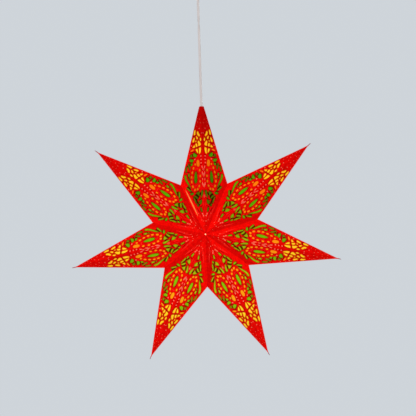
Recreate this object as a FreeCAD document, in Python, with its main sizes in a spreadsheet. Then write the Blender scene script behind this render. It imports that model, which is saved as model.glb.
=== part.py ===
import FreeCAD, Part
import Sketcher
import math
import os

# Folding paper star lantern on a pendant cord, below a ceiling rose.
# The origin is on the ceiling above the star, with +Z up and the lit front towards -Y.
# All lengths are in millimetres.

DIMENSIONS = (
    # the star: a flat seven pointed star pulled out into fourteen creased pyramids
    ("point_count", 7),
    ("tip_radius", 300),
    ("notch_radius", 120),
    ("half_depth", 95),
    ("star_drop", 590),
    ("paper_thick", 0.4),
    # how far the sheets stay back from their folds, so that they clear each other while folding
    ("ridge_start_gap", 2.0),
    ("ridge_hub_gap", 2.4),
    ("hub_trim", 5.6),
    ("crease_start_gap", 0.8),
    ("notch_trim", 1.6),
    ("valley_gap", 0.15),
    # pasted tips, and the collar at the top point that the cord runs through
    ("tip_length", 15),
    ("tip_end_half", 0.5),
    ("tail_length", 7),
    ("tail_half_width", 1.3),
    ("tail_half_thick", 0.7),
    ("sheet_play", 0.35),
    ("collar_top_depth", 19),
    ("collar_wall", 0.6),
    ("collar_skirt", 2.0),
    ("collar_play", 0.35),
    # thread knots that tie the closing seam near the hub
    ("knot_radius", 1.3),
    ("knot_height", 1.2),
    ("knot_from_hub", 14),
    ("knot_from_ridge", 4.6),
    # flat twin cord and the clamp that carries the star
    ("cord_width", 5.4),
    ("cord_thick", 3.2),
    ("cord_web", 1.9),
    ("cord_play", 0.15),
    ("stop_radius", 5.0),
    ("stop_height", 7.0),
    # lampholder, measured up from the middle of the star
    ("holder_rim", 27),
    ("holder_radius", 14),
    ("holder_wall", 1.8),
    ("holder_lip", 2.0),
    ("holder_length", 35),
    ("holder_cap_length", 22),
    ("holder_cap_straight", 8),
    ("holder_neck_radius", 8),
    ("holder_play", 0.25),
    ("insert_height", 10),
    ("terminal_radius", 1.5),
    ("terminal_height", 6),
    ("terminal_offset", 8.2),
    ("terminal_rise", 1.5),
    ("contact_strip_length", 11),
    ("contact_strip_width", 4),
    ("contact_strip_thick", 0.6),
    ("contact_button_radius", 1.6),
    # small Edison thread, drawn as rings
    ("thread_crest", 6.9),
    ("thread_root", 6.1),
    ("thread_pitch", 2.82),
    ("thread_turns", 6),
    ("thread_play", 0.2),
    ("thread_sheet", 0.35),
    ("shell_flange", 9.4),
    # golf ball bulb
    ("bulb_radius", 22.5),
    ("bulb_middle", -5),
    ("bulb_wall", 0.8),
    ("bulb_shoulder", 13),
    ("bulb_neck_radius", 5.5),
    ("bulb_neck_length", 6),
    ("bulb_insulator_height", 3),
    ("bulb_insulator_top", 3),
    ("bulb_contact_radius", 2.2),
    ("bulb_contact_height", 1.2),
    ("bulb_contact_play", 0.15),
    ("stem_radius", 2.4),
    ("stem_length", 22),
    ("stem_flare", 2.0),
    ("stem_play", 0.1),
    ("filament_ring", 8),
    ("filament_wire", 0.3),
    ("filament_post", 0.45),
    ("filament_drop", 9),
    # ceiling rose
    ("rose_radius", 50),
    ("rose_height", 48),
    ("rose_side", 32),
    ("rose_foot_radius", 36),
    ("rose_wall", 1.2),
    ("strap_width", 16),
    ("strap_thick", 2),
    ("strap_play", 0.6),
    ("leg_length", 18),
    ("ceiling_hole_radius", 2.25),
    ("ceiling_hole_spacing", 60),
    ("rose_screw_level", 11),
    ("rose_screw_radius", 1.9),
    ("rose_screw_play", 0.1),
    ("rose_screw_inside", 3),
    ("rose_screw_head_radius", 3.6),
    ("rose_screw_head_height", 2.4),
    # terminal block
    ("block_length", 26),
    ("block_width", 15),
    ("block_height", 13),
    ("block_screw_radius", 1.9),
    ("block_screw_length", 7),
    ("block_screw_offset", 7.5),
    ("block_screw_play", 0.15),
    ("block_hole_depth", 9),
    # cord gland with the ball that lets the cord hang plumb
    ("pivot_rise", 2),
    ("ball_radius", 9),
    ("ball_half_height", 6),
    ("ball_play", 0.3),
    ("ball_neck_radius", 3.5),
    ("ball_mouth_radius", 5.2),
    ("gland_radius", 12.5),
    ("gland_play", 0.2),
    ("gland_flange_radius", 17),
    ("gland_flange_thick", 3),
    ("gland_above", 4),
    ("gland_below", 6),
    ("lead_gap", 1.6),
    # every cut runs on past its piece by this much
    ("overrun", 1),
)

KNEE_SHARE = 0.45

os.makedirs("parts", exist_ok=True)
doc = FreeCAD.newDocument("StarLantern")
sheet = doc.addObject("Spreadsheet::Sheet", "Dimensions")
for row, (word, number) in enumerate(DIMENSIONS, start=1):
    sheet.set("A%d" % row, word)
    sheet.set("B%d" % row, str(number))
    sheet.setAlias("B%d" % row, word)
doc.recompute()


class Size:
    """A number from the sheet together with the formula that binds a property to it."""

    def __init__(self, value, formula):
        self.value = float(value)
        self.formula = formula

    @staticmethod
    def of(other):
        return other if isinstance(other, Size) else Size(other, repr(other))

    def join(self, sign, other, value):
        return Size(value, "(%s %s %s)" % (self.formula, sign, other.formula))

    def __add__(self, other):
        other = Size.of(other)
        return self.join("+", other, self.value + other.value)

    def __sub__(self, other):
        other = Size.of(other)
        return self.join("-", other, self.value - other.value)

    def __mul__(self, other):
        other = Size.of(other)
        return self.join("*", other, self.value * other.value)

    def __truediv__(self, other):
        other = Size.of(other)
        return self.join("/", other, self.value / other.value)

    def __neg__(self):
        return Size(-self.value, "(0 - %s)" % self.formula)

    def __rmul__(self, other):
        return Size.of(other) * self

    def __rsub__(self, other):
        return Size.of(other) - self

    def __radd__(self, other):
        return Size.of(other) + self

    def __rtruediv__(self, other):
        return Size.of(other) / self


def root(size):
    return Size(math.sqrt(size.value), "sqrt(%s)" % size.formula)


def cosine(degrees):
    return Size(math.cos(math.radians(degrees.value)), "cos(%s)" % degrees.formula)


def sine(degrees):
    return Size(math.sin(math.radians(degrees.value)), "sin(%s)" % degrees.formula)


class Sizes:
    """Reads a named cell of the sheet as a Size, as in d.tip_radius."""

    def __getattr__(self, word):
        return Size(getattr(sheet, word), "Dimensions." + word)


d = Sizes()
ZERO = Size(0, "0")
nodes = {}


def bind(thing, name, size):
    """Sets one property of a feature from the sheet."""
    thing.setExpression(name, size.formula)


def keep(label, thing):
    """Gives a finished piece its label and puts it on the list of pieces."""
    thing.Label = label
    nodes[label] = thing
    return thing


def place(thing, x=ZERO, y=ZERO, z=ZERO, along=None):
    """Moves a feature, and turns its own Z towards a direction if one is given."""
    if along is not None:
        turn = FreeCAD.Rotation(FreeCAD.Vector(0, 0, 1), along)
        thing.Placement = FreeCAD.Placement(FreeCAD.Vector(), turn)
    bind(thing, "Placement.Base.x", x)
    bind(thing, "Placement.Base.y", y)
    bind(thing, "Placement.Base.z", z)
    return thing


# sketched features

def outline_sketch(body, role, outline, lift=None):
    """A closed outline of straight lines, with every corner bound to the sheet."""
    plane = next(f for f in body.Origin.OriginFeatures if f.Role == role)
    sketch = body.newObject("Sketcher::SketchObject", "Outline")
    sketch.AttachmentSupport = [(plane, "")]
    sketch.MapMode = "FlatFace"
    if lift is not None:
        bind(sketch, "AttachmentOffset.Base.z", lift)
    corners = [FreeCAD.Vector(x.value, y.value, 0) for x, y in outline]
    last = len(corners) - 1
    for i, corner in enumerate(corners):
        following = corners[0 if i == last else i + 1]
        sketch.addGeometry(Part.LineSegment(corner, following), False)
    for i in range(len(corners)):
        following = 0 if i == last else i + 1
        sketch.addConstraint(Sketcher.Constraint("Coincident", i, 2, following, 1))
    for i, (x, y) in enumerate(outline):
        for kind, size in (("DistanceX", x), ("DistanceY", y)):
            index = sketch.addConstraint(Sketcher.Constraint(kind, -1, 1, i, 1, size.value))
            sketch.setExpression("Constraints[%d]" % index, size.formula)
    return sketch


def turned(label, outline, level=ZERO):
    """A piece of revolution about Z. Outline corners are radius and height."""
    body = doc.addObject("PartDesign::Body", label)
    sketch = outline_sketch(body, "XZ_Plane", outline)
    turn = body.newObject("PartDesign::Revolution", "Turn")
    turn.Profile = sketch
    turn.ReferenceAxis = (sketch, ["V_Axis"])
    turn.Angle = 360
    place(body, z=level)
    return keep(label, body)


def lofted(label, sections, hollow=()):
    """A straight sided loft through outlines at several heights, with an optional hollow."""
    body = doc.addObject("PartDesign::Body", label)
    for kind, group in (("AdditiveLoft", sections), ("SubtractiveLoft", hollow)):
        if not group:
            continue
        sketches = [outline_sketch(body, "XY_Plane", outline, lift) for outline, lift in group]
        loft = body.newObject("PartDesign::" + kind, kind)
        loft.Profile = sketches[0]
        loft.Sections = sketches[1:]
        loft.Ruled = True
    return keep(label, body)


# plain solids and cuts

def rod(radius, height):
    """A cylinder that hasn't been given a place yet."""
    thing = doc.addObject("Part::Cylinder", "Cylinder")
    bind(thing, "Radius", radius)
    bind(thing, "Height", height)
    return thing


def cylinder(radius, height, x=ZERO, y=ZERO, z=ZERO, along=None):
    return place(rod(radius, height), x, y, z, along)


def cone(low, high, height, z):
    thing = doc.addObject("Part::Cone", "Cone")
    bind(thing, "Radius1", low)
    bind(thing, "Radius2", high)
    bind(thing, "Height", height)
    return place(thing, z=z)


def ball(radius, z):
    thing = doc.addObject("Part::Sphere", "Sphere")
    bind(thing, "Radius", radius)
    return place(thing, z=z)


def block(length, width, height, x, y, z):
    """A box centred on x and y that stands on z."""
    thing = doc.addObject("Part::Box", "Box")
    bind(thing, "Length", length)
    bind(thing, "Width", width)
    bind(thing, "Height", height)
    return place(thing, x - length / 2, y - width / 2, z)


def fused(*things):
    thing = doc.addObject("Part::MultiFuse", "Fusion")
    thing.Shapes = list(things)
    return thing


def cut(base, tool):
    thing = doc.addObject("Part::Cut", "Cut")
    thing.Base = base
    thing.Tool = tool
    return thing


def group_of(*things):
    """Several like pieces in one node."""
    thing = doc.addObject("Part::Compound", "Group")
    thing.Links = list(things)
    return thing


# The flat triangle of one paper panel: u runs down the ridge from the tip to the hub,
# and v runs across the sheet towards the notch between two points.

half_angle = 180 / d.point_count
ridge_length = root(d.tip_radius * d.tip_radius + d.half_depth * d.half_depth)
notch_u = (d.tip_radius * d.tip_radius
           - d.tip_radius * d.notch_radius * cosine(half_angle)) / ridge_length
crease_square = (d.tip_radius * d.tip_radius + d.notch_radius * d.notch_radius
                 - 2 * d.tip_radius * d.notch_radius * cosine(half_angle))
notch_v = root(crease_square - notch_u * notch_u)
valley_length = root(d.notch_radius * d.notch_radius + d.half_depth * d.half_depth)
ridge_slope = d.half_depth / d.tip_radius
slant = ridge_length / d.tip_radius


def panel_outline(start, hand):
    """Corners of a trimmed panel that starts this far from the tip; hand is 1 or -1."""
    down = (ridge_length - notch_u) / valley_length
    across = notch_v / valley_length
    knee_u = notch_u + KNEE_SHARE * (ridge_length - notch_u) - d.valley_gap * across
    knee_v = notch_v - KNEE_SHARE * notch_v - d.valley_gap * down
    corners = (
        (start, d.ridge_start_gap),
        (ridge_length - d.hub_trim, d.ridge_hub_gap),
        (knee_u, knee_v),
        (notch_u, notch_v - d.notch_trim),
        (start, start * notch_v / notch_u - d.crease_start_gap),
    )
    return [(u, hand * v) for u, v in corners]


def point_turn(point):
    """Turns the top point onto a numbered point, clockwise from the front."""
    return FreeCAD.Rotation(FreeCAD.Vector(0, 1, 0), (point - 1) * 2 * half_angle.value)


def star_placement(point, local):
    """Puts something drawn about the middle of the star, for the top point, in its place."""
    middle = FreeCAD.Vector(0, 0, -d.star_drop.value)
    return FreeCAD.Placement(middle, point_turn(point)).multiply(local)


def panel_frame(across_sign, depth_sign):
    """Where a panel's own u, v and outward axes lie on the top point."""
    tip = FreeCAD.Vector(0, 0, d.tip_radius.value)
    hub = FreeCAD.Vector(0, -depth_sign * d.half_depth.value, 0)
    notch_x = across_sign * d.notch_radius.value * math.sin(math.radians(half_angle.value))
    notch_z = d.notch_radius.value * math.cos(math.radians(half_angle.value))
    notch = FreeCAD.Vector(notch_x, 0, notch_z)
    hand = across_sign * depth_sign
    u_axis = (hub - tip).normalize()
    v_axis = (notch - tip) - u_axis * (notch - tip).dot(u_axis)
    v_axis = v_axis.normalize() * hand
    turn = FreeCAD.Rotation(u_axis, v_axis, u_axis.cross(v_axis), "ZXY")
    return FreeCAD.Placement(tip, turn), hand


def panel(point, face, side, start):
    """One flat sheet of the star, with its coloured backing sheets pasted behind it."""
    across_sign = 1 if side == "right" else -1
    depth_sign = 1 if face == "front" else -1
    frame, hand = panel_frame(across_sign, depth_sign)
    label = "point%d_%s_%s" % (point, face, side)
    body = doc.addObject("PartDesign::Body", label)
    sketch = outline_sketch(body, "XY_Plane", panel_outline(start, hand))
    pad = body.newObject("PartDesign::Pad", "Paper")
    pad.Profile = sketch
    pad.Reversed = True
    bind(pad, "Length", d.paper_thick)
    body.Placement = star_placement(point, frame)
    return keep(label, body)


def rhombus(half_x, half_y):
    return [(half_x, ZERO), (ZERO, half_y), (-half_x, ZERO), (ZERO, -half_y)]


def point_section(apex, depth):
    """The diamond section of a point at a depth below its own apex, and its height."""
    half_x = depth * crease_slope
    half_y = depth * ridge_slope
    return rhombus(half_x, half_y), apex - depth


# the star

notch_drop = d.tip_radius - d.notch_radius * cosine(half_angle)
crease_slope = d.notch_radius * sine(half_angle) / notch_drop
slope_squares = crease_slope * crease_slope + ridge_slope * ridge_slope
inscribed_slope = crease_slope * ridge_slope / root(slope_squares)
wall_drop = d.collar_wall * root(1 + inscribed_slope * inscribed_slope) / inscribed_slope

stop_depth = (d.stop_radius + d.collar_play) / inscribed_slope + wall_drop
collar_depth = stop_depth + d.stop_height + d.collar_skirt
tip_panel_start = d.tip_length * slant + d.sheet_play
collar_panel_start = collar_depth * slant + d.sheet_play

for point in range(1, int(d.point_count.value) + 1):
    start = collar_panel_start if point == 1 else tip_panel_start
    for face in ("front", "back"):
        for side in ("right", "left"):
            panel(point, face, side, start)

for point in range(2, int(d.point_count.value) + 1):
    sections = [
        point_section(ZERO, d.tip_length),
        (rhombus(d.tip_end_half, d.tip_end_half), ZERO),
        (rhombus(d.tail_half_width, d.tail_half_thick), d.tail_length),
    ]
    tip = lofted("point%d_tip" % point, sections)
    on_axis = FreeCAD.Placement(FreeCAD.Vector(0, 0, d.tip_radius.value), FreeCAD.Rotation())
    tip.Placement = star_placement(point, on_axis)

collar_hollow = []
for depth in (collar_depth + d.overrun, d.collar_top_depth - d.overrun):
    section, _ = point_section(d.tip_radius, depth - wall_drop)
    collar_hollow.append((section, d.tip_radius - depth))
collar = lofted(
    "top_collar",
    [point_section(d.tip_radius, collar_depth), point_section(d.tip_radius, d.collar_top_depth)],
    collar_hollow,
)
place(collar, z=-d.star_drop)

for face in ("front", "back"):
    depth_sign = 1 if face == "front" else -1
    frame, hand = panel_frame(1, depth_sign)
    knot = rod(d.knot_radius, d.knot_height)
    knot_u = ridge_length - d.knot_from_hub
    knot_v = d.knot_from_ridge * hand
    spot = FreeCAD.Vector(knot_u.value, knot_v.value, 0)
    on_panel = frame.multiply(FreeCAD.Placement(spot, FreeCAD.Rotation()))
    knot.Placement = star_placement(int(d.point_count.value), on_panel)
    keep("seam_knot_" + face, knot)


# the cord and the clamp that the star hangs on

pivot = -d.rose_height + d.pivot_rise
middle = -d.star_drop
insert_top = middle + d.holder_rim + d.holder_length
core = d.cord_thick / 2
core_offset = (d.cord_width - d.cord_thick) / 2


def twin_cord(label, low, high):
    """Two round cores side by side along X with a thinner web between them."""
    cores = [cylinder(core, high - low, x=x, z=low) for x in (core_offset, -core_offset)]
    web = block(core_offset * 2, d.cord_web, high - low, ZERO, ZERO, low)
    return keep(label, fused(*cores, web))


twin_cord("pendant_cord", insert_top, pivot)
print("cord from the pivot down: %.1f mm" % (pivot.value - insert_top.value))

stop_top = middle + d.tip_radius - stop_depth
stop_low = stop_top - d.stop_height
slot = block(
    d.cord_width + d.cord_play * 2, d.cord_thick + d.cord_play * 2,
    d.stop_height + d.overrun * 2, ZERO, ZERO, stop_low - d.overrun,
)
keep("cord_stop", cut(cylinder(d.stop_radius, d.stop_height, z=stop_low), slot))


# the lampholder

rim = middle + d.holder_rim
inside = d.holder_radius - d.holder_wall
insert_low = d.holder_length - d.insert_height
mouth = d.thread_crest + d.thread_play * 2 + d.thread_sheet

turned("holder_body", [
    (mouth + d.holder_play, ZERO),
    (d.holder_radius, ZERO),
    (d.holder_radius, d.holder_length),
    (inside, d.holder_length),
    (inside, d.holder_lip),
    (mouth + d.holder_play, d.holder_lip),
], rim)

turned("holder_cap", [
    (d.holder_radius, ZERO),
    (d.holder_radius, d.holder_cap_straight),
    (d.holder_neck_radius, d.holder_cap_length),
    (d.cord_width / 2 + d.holder_play, d.holder_cap_length),
    (d.cord_width / 2 + d.holder_play, d.holder_cap_length - d.holder_wall),
    (d.holder_neck_radius - d.holder_wall, d.holder_cap_length - d.holder_wall),
    (inside, d.holder_cap_straight),
    (inside, ZERO),
], insert_top)

terminal_low = insert_top - d.terminal_height + d.terminal_rise
terminal_holes = [
    cylinder(d.terminal_radius + d.holder_play, d.terminal_height, x=x, z=terminal_low)
    for x in (d.terminal_offset, -d.terminal_offset)
]
insert_disc = cylinder(inside - d.holder_play, d.insert_height, z=rim + insert_low)
keep("holder_insert", cut(insert_disc, fused(*terminal_holes)))
keep("holder_terminals", group_of(*[
    cylinder(d.terminal_radius, d.terminal_height, x=x, z=terminal_low)
    for x in (d.terminal_offset, -d.terminal_offset)
]))


def thread_outline(root_radius, crest_radius, turns, pitch):
    """Corners up the flank of a row of rings, starting and ending at the root."""
    corners = [(root_radius, ZERO)]
    for turn in range(int(turns.value)):
        corners.append((crest_radius, pitch * (turn + 1 / 2)))
        corners.append((root_radius, pitch * (turn + 1)))
    return corners


thread_length = d.thread_turns * d.thread_pitch
shell_root = d.thread_root + d.thread_play
shell_crest = d.thread_crest + d.thread_play
thread_start = rim + d.holder_lip
shell_inside = thread_outline(shell_root, shell_crest, d.thread_turns, d.thread_pitch)
shell_outside = thread_outline(
    shell_root + d.thread_sheet, shell_crest + d.thread_sheet, d.thread_turns, d.thread_pitch)
shell_height = rim + insert_low - thread_start
turned("thread_shell", shell_inside + [
    (shell_root, shell_height),
    (d.shell_flange, shell_height),
    (d.shell_flange, shell_height - d.thread_sheet),
    (shell_root + d.thread_sheet, shell_height - d.thread_sheet),
] + shell_outside[::-1], thread_start)

strip = block(
    d.contact_strip_length, d.contact_strip_width, d.contact_strip_thick,
    ZERO, ZERO, rim + insert_low - d.contact_strip_thick,
)
bulb_contact_top = thread_start + thread_length + d.bulb_insulator_height + d.bulb_contact_height
button_low = bulb_contact_top + d.bulb_contact_play
button = cylinder(d.contact_button_radius, rim + insert_low - button_low, z=button_low)
keep("centre_contact", fused(strip, button))


# the bulb

bulb_centre = middle + d.bulb_middle
neck_start = thread_start
shoulder_radius = root(d.bulb_radius * d.bulb_radius - d.bulb_shoulder * d.bulb_shoulder)
shoulder_level = bulb_centre + d.bulb_shoulder


def bulb_solid(inset, longer):
    """The bulb's shape, drawn in by the glass thickness for the hollow."""
    globe = ball(d.bulb_radius - inset, bulb_centre)
    shoulder = cone(
        shoulder_radius - inset, d.bulb_neck_radius - inset, neck_start - shoulder_level, shoulder_level)
    neck = cylinder(d.bulb_neck_radius - inset, d.bulb_neck_length + longer, z=neck_start)
    return fused(globe, shoulder, neck)


keep("bulb_glass", cut(bulb_solid(ZERO, ZERO), bulb_solid(d.bulb_wall, d.overrun)))

cap_inside = d.bulb_neck_radius + d.holder_play
cap_outside = thread_outline(d.thread_root, d.thread_crest, d.thread_turns, d.thread_pitch)
turned("bulb_cap", cap_outside + [(cap_inside, thread_length), (cap_inside, ZERO)], neck_start)

keep("bulb_insulator", cone(
    cap_inside, d.bulb_insulator_top, d.bulb_insulator_height, neck_start + thread_length))
keep("bulb_contact", cylinder(
    d.bulb_contact_radius, d.bulb_contact_height,
    z=neck_start + thread_length + d.bulb_insulator_height))

stem_top = neck_start + d.bulb_neck_length
stem_low = stem_top - d.stem_length
flare_radius = d.bulb_neck_radius - d.bulb_wall - d.stem_play
keep("bulb_stem", fused(
    cylinder(d.stem_radius, d.stem_length, z=stem_low),
    cylinder(flare_radius, d.stem_flare, z=stem_top - d.stem_flare),
))

filament_level = stem_low - d.filament_drop
ring = doc.addObject("Part::Torus", "FilamentRing")
bind(ring, "Radius1", d.filament_ring)
bind(ring, "Radius2", d.filament_wire)
place(ring, z=filament_level)
post_low = filament_level - d.filament_post
post_top = stem_low + d.filament_wire
posts = [
    cylinder(d.filament_post, post_top - post_low, x=x, z=post_low)
    for x in (d.filament_ring, -d.filament_ring)
]
bridge = cylinder(
    d.filament_wire, d.filament_ring * 2, x=-d.filament_ring, z=stem_low - d.filament_wire,
    along=FreeCAD.Vector(1, 0, 0),
)
keep("filament", fused(ring, bridge, *posts))


# the ceiling rose

foot = d.rose_foot_radius
turned("rose_cup", [
    (d.rose_radius, ZERO),
    (d.rose_radius, -d.rose_side),
    (foot, -d.rose_height),
    (d.gland_radius + d.gland_play, -d.rose_height),
    (d.gland_radius + d.gland_play, -d.rose_height + d.rose_wall),
    (foot - d.rose_wall / 2, -d.rose_height + d.rose_wall),
    (d.rose_radius - d.rose_wall, -d.rose_side),
    (d.rose_radius - d.rose_wall, ZERO),
])

strap_half = d.rose_radius - d.rose_wall - d.strap_play - d.strap_thick / 2
strap_bar = block(strap_half * 2, d.strap_width, d.strap_thick, ZERO, ZERO, -d.strap_thick)
leg_x = strap_half - d.strap_thick / 2
legs = [
    block(d.strap_thick, d.strap_width, d.leg_length, x, ZERO, -d.leg_length)
    for x in (leg_x, -leg_x)
]
hole_low = -d.strap_thick - d.overrun
hole_x = d.ceiling_hole_spacing / 2
ceiling_holes = [
    cylinder(d.ceiling_hole_radius, d.overrun - hole_low, x=x, z=hole_low)
    for x in (hole_x, -hole_x)
]
screw_hole_radius = d.rose_screw_radius + d.rose_screw_play
across = cylinder(
    screw_hole_radius, d.rose_radius * 2 + d.overrun * 2, x=-d.rose_radius - d.overrun,
    z=-d.rose_screw_level, along=FreeCAD.Vector(1, 0, 0),
)
keep("rose_strap", cut(fused(strap_bar, *legs), fused(across, *ceiling_holes)))
cup = nodes["rose_cup"]
cup.Label = "rose_cup_turned"
keep("rose_cup", cut(cup, across))

shank_in = leg_x - d.rose_screw_inside
shank = d.rose_radius - shank_in + d.rose_screw_play
screws = []
for sign in (1, -1):
    along = FreeCAD.Vector(sign, 0, 0)
    screws.append(fused(
        cylinder(d.rose_screw_radius, shank, x=shank_in * sign, z=-d.rose_screw_level, along=along),
        cylinder(
            d.rose_screw_head_radius, d.rose_screw_head_height,
            x=(shank_in + shank) * sign, z=-d.rose_screw_level, along=along,
        ),
    ))
keep("rose_screws", group_of(*screws))

block_low = -d.strap_thick - d.block_height
screw_spots = (d.block_screw_offset, -d.block_screw_offset)
pit_radius = d.block_screw_radius + d.block_screw_play
terminal_pits = [
    cylinder(pit_radius, d.block_hole_depth + d.overrun, x=x, z=block_low - d.overrun)
    for x in screw_spots
]
terminal_body = block(d.block_length, d.block_width, d.block_height, ZERO, ZERO, block_low)
keep("terminal_block", cut(terminal_body, fused(*terminal_pits)))
pit_top = block_low + d.block_hole_depth
keep("terminal_screws", group_of(*[
    cylinder(d.block_screw_radius, d.block_screw_length, x=x, z=pit_top - d.block_screw_length)
    for x in screw_spots
]))

twin_cord("lead_in_rose", pivot + d.lead_gap, block_low)

flange_low = -d.rose_height + d.rose_wall
gland_low = pivot - d.gland_below
gland_high = pivot + d.gland_above
seat_radius = d.ball_radius + d.ball_play
barrel = cylinder(d.gland_radius, gland_high - gland_low, z=gland_low)
flange = cylinder(d.gland_flange_radius, d.gland_flange_thick, z=flange_low)
well = cylinder(seat_radius, d.gland_above + d.overrun, z=pivot)
keep("cord_gland", cut(fused(barrel, flange), fused(ball(seat_radius, pivot), well)))

ball_low = pivot - d.ball_half_height
slice_block = cylinder(d.ball_radius + d.overrun, d.ball_half_height * 2, z=ball_low)
ball_slice = doc.addObject("Part::Common", "BallSlice")
ball_slice.Base = ball(d.ball_radius, pivot)
ball_slice.Tool = slice_block
bore = fused(
    cone(d.ball_neck_radius, d.ball_mouth_radius, d.ball_half_height, pivot),
    cone(d.ball_mouth_radius, d.ball_neck_radius, d.ball_half_height, ball_low),
)
keep("swing_ball", cut(ball_slice, bore))


# checks and files

doc.recompute()
for thing in doc.Objects:
    if "Invalid" in thing.State or "Error" in thing.State:
        raise RuntimeError("%s did not build" % thing.Label)
for label, thing in nodes.items():
    shape = thing.Shape
    if shape.isNull() or not shape.isValid() or not shape.Solids:
        raise RuntimeError("%s has no valid solid" % label)
    if shape.Volume <= 0:
        raise RuntimeError("%s has no volume" % label)

for label, thing in nodes.items():
    thing.Shape.exportStep("parts/%s.step" % label)
    print("%-24s %d solid(s) %10.1f mm3" % (label, len(thing.Shape.Solids), thing.Shape.Volume))
print("%d pieces" % len(nodes))
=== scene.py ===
# %% [markdown]
# # A pierced paper star lantern
# The lantern is a flat, seven pointed paper star that is pulled round its hub until it stands
# open, with a lamp inside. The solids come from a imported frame, and this file dresses them:
# it builds the pierced sheets, the tips, the flex and the ceiling rose, and gives each of
# them a finish. All lengths in the scene are in metres, and +Z points up.

# %% Load the frame
import math

import bpy
import numpy as np
from mathutils import Matrix, Vector
from mathutils.geometry import delaunay_2d_cdt


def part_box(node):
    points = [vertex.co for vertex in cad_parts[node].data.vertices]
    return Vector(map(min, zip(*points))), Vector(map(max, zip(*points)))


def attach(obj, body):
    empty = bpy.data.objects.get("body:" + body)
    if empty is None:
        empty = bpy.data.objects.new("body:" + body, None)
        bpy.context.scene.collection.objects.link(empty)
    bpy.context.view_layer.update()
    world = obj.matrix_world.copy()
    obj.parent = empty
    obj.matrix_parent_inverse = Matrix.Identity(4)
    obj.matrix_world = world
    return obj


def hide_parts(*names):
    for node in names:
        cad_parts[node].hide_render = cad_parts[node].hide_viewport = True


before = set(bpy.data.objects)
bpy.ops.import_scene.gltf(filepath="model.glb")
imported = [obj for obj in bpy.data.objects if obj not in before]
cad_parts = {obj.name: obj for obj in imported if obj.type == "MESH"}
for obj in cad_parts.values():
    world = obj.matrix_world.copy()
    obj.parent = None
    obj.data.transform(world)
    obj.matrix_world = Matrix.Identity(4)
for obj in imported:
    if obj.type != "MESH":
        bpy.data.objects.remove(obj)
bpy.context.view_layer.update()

MM = 0.001

# %% [markdown]
# ## Small helpers for meshes
# A surface can be modelled by hand, swept with a modifier or worked out as numbers. Worked
# out numbers are exact and quick, so nearly every piece here is a numpy grid of points:
# rows run along the piece and columns run round it. These helpers join such a grid with
# quads, and turn points and faces into an object that rides on a body of the frame.

# %% Mesh helpers

def circle(count):
    """Angles once round a circle, evenly spaced, without the last one that equals the first."""
    return np.linspace(0, 2 * math.pi, count, endpoint=False)


def grid_quads(rows, columns, closed=False):
    """Quads between neighbouring rows of a grid whose columns close into a ring.

    The corners are (r, c), (r, c + 1), (r + 1, c + 1) and (r + 1, c), with c counted round,
    and r too where closed is true.
    """
    r, c = np.meshgrid(np.arange(rows - 1 + closed), np.arange(columns), indexing="ij")
    near = r * columns + c
    side = r * columns + (c + 1) % columns
    quads = np.stack((near, side, side + columns, near + columns), -1).reshape(-1, 4)
    return (quads % (rows * columns)).tolist()


def tube_faces(rows, columns):
    """The quads of a tube and one face across each of its ends."""
    last = (rows - 1) * columns
    ends = [list(range(columns))[::-1], list(range(last, last + columns))]
    return grid_quads(rows, columns) + ends


def turned_over(faces):
    """The same faces, facing the other way."""
    return [face[::-1] for face in faces]


def add_piece(name, points, faces, body, materials, smooth=True, slots=None):
    """Makes an object from points and faces, gives it materials and a body to ride on."""
    mesh = bpy.data.meshes.new(name)
    mesh.from_pydata([tuple(p) for p in points], [], [tuple(f) for f in faces])
    for material in materials:
        mesh.materials.append(material)
    if slots is not None:
        mesh.polygons.foreach_set("material_index", np.asarray(slots, np.int32))
    mesh.polygons.foreach_set("use_smooth", np.full(len(mesh.polygons), smooth))
    mesh.validate()
    mesh.update()
    piece = bpy.data.objects.new(name, mesh)
    bpy.context.scene.collection.objects.link(piece)
    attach(piece, body)
    return piece


print("a tube of 3 rings of 4 points has %d faces" % len(tube_faces(3, 4)))

# %% [markdown]
# ## Shader sums as Python sums
# A material is a tree of nodes, and a tree is slow to read when it is wired by hand. Here
# one class wraps an output socket, so that `1 - mask * 0.5` adds the Math nodes for itself.
# Every other node comes from one method that takes its type, its settings and its sockets.

# %% Sockets that add up

class Signal:
    """An output socket. Sums with numbers or other signals add Math nodes to its tree."""

    def __init__(self, owner, socket):
        self.owner = owner
        self.socket = socket

    def __add__(self, other):
        return self.owner.math("ADD", self, other)

    def __sub__(self, other):
        return self.owner.math("SUBTRACT", self, other)

    def __rsub__(self, other):
        return self.owner.math("SUBTRACT", other, self)

    def __mul__(self, other):
        return self.owner.math("MULTIPLY", self, other)

    def __truediv__(self, other):
        return self.owner.math("DIVIDE", self, other)

    def __pow__(self, other):
        return self.owner.math("POWER", self, other)

    __radd__ = __add__
    __rmul__ = __mul__

    def part(self, name):
        """Another output of the same node."""
        return Signal(self.owner, self.socket.node.outputs[name])


class Nodes:
    """The node tree of a material or of the world, emptied first."""

    def __init__(self, block):
        block.use_nodes = True
        self.tree = block.node_tree
        self.tree.nodes.clear()

    def add(self, kind, settings=(), values=(), output=0):
        """Adds one node: its settings first, then the numbers or links of its sockets."""
        node = self.tree.nodes.new(kind)
        for word, setting in dict(settings).items():
            setattr(node, word, setting)
        for socket, value in dict(values).items():
            if isinstance(value, Signal):
                self.tree.links.new(value.socket, node.inputs[socket])
            else:
                node.inputs[socket].default_value = value
        return Signal(self, node.outputs[output]) if len(node.outputs) else node

    def math(self, operation, *values):
        return self.add("ShaderNodeMath", {"operation": operation}, dict(enumerate(values)))


print("sockets now take + - * / and **")

# %% [markdown]
# ## What every finish is made of
# The finishes here need only a few kinds of node: a mix of two colours, a smooth step, soft
# noise and a bump. Each gets a short method, so that a finish later reads like a recipe. All
# of them read the piece's own coordinates, so a pattern stays put when the piece moves.

# %% Finishes

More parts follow.
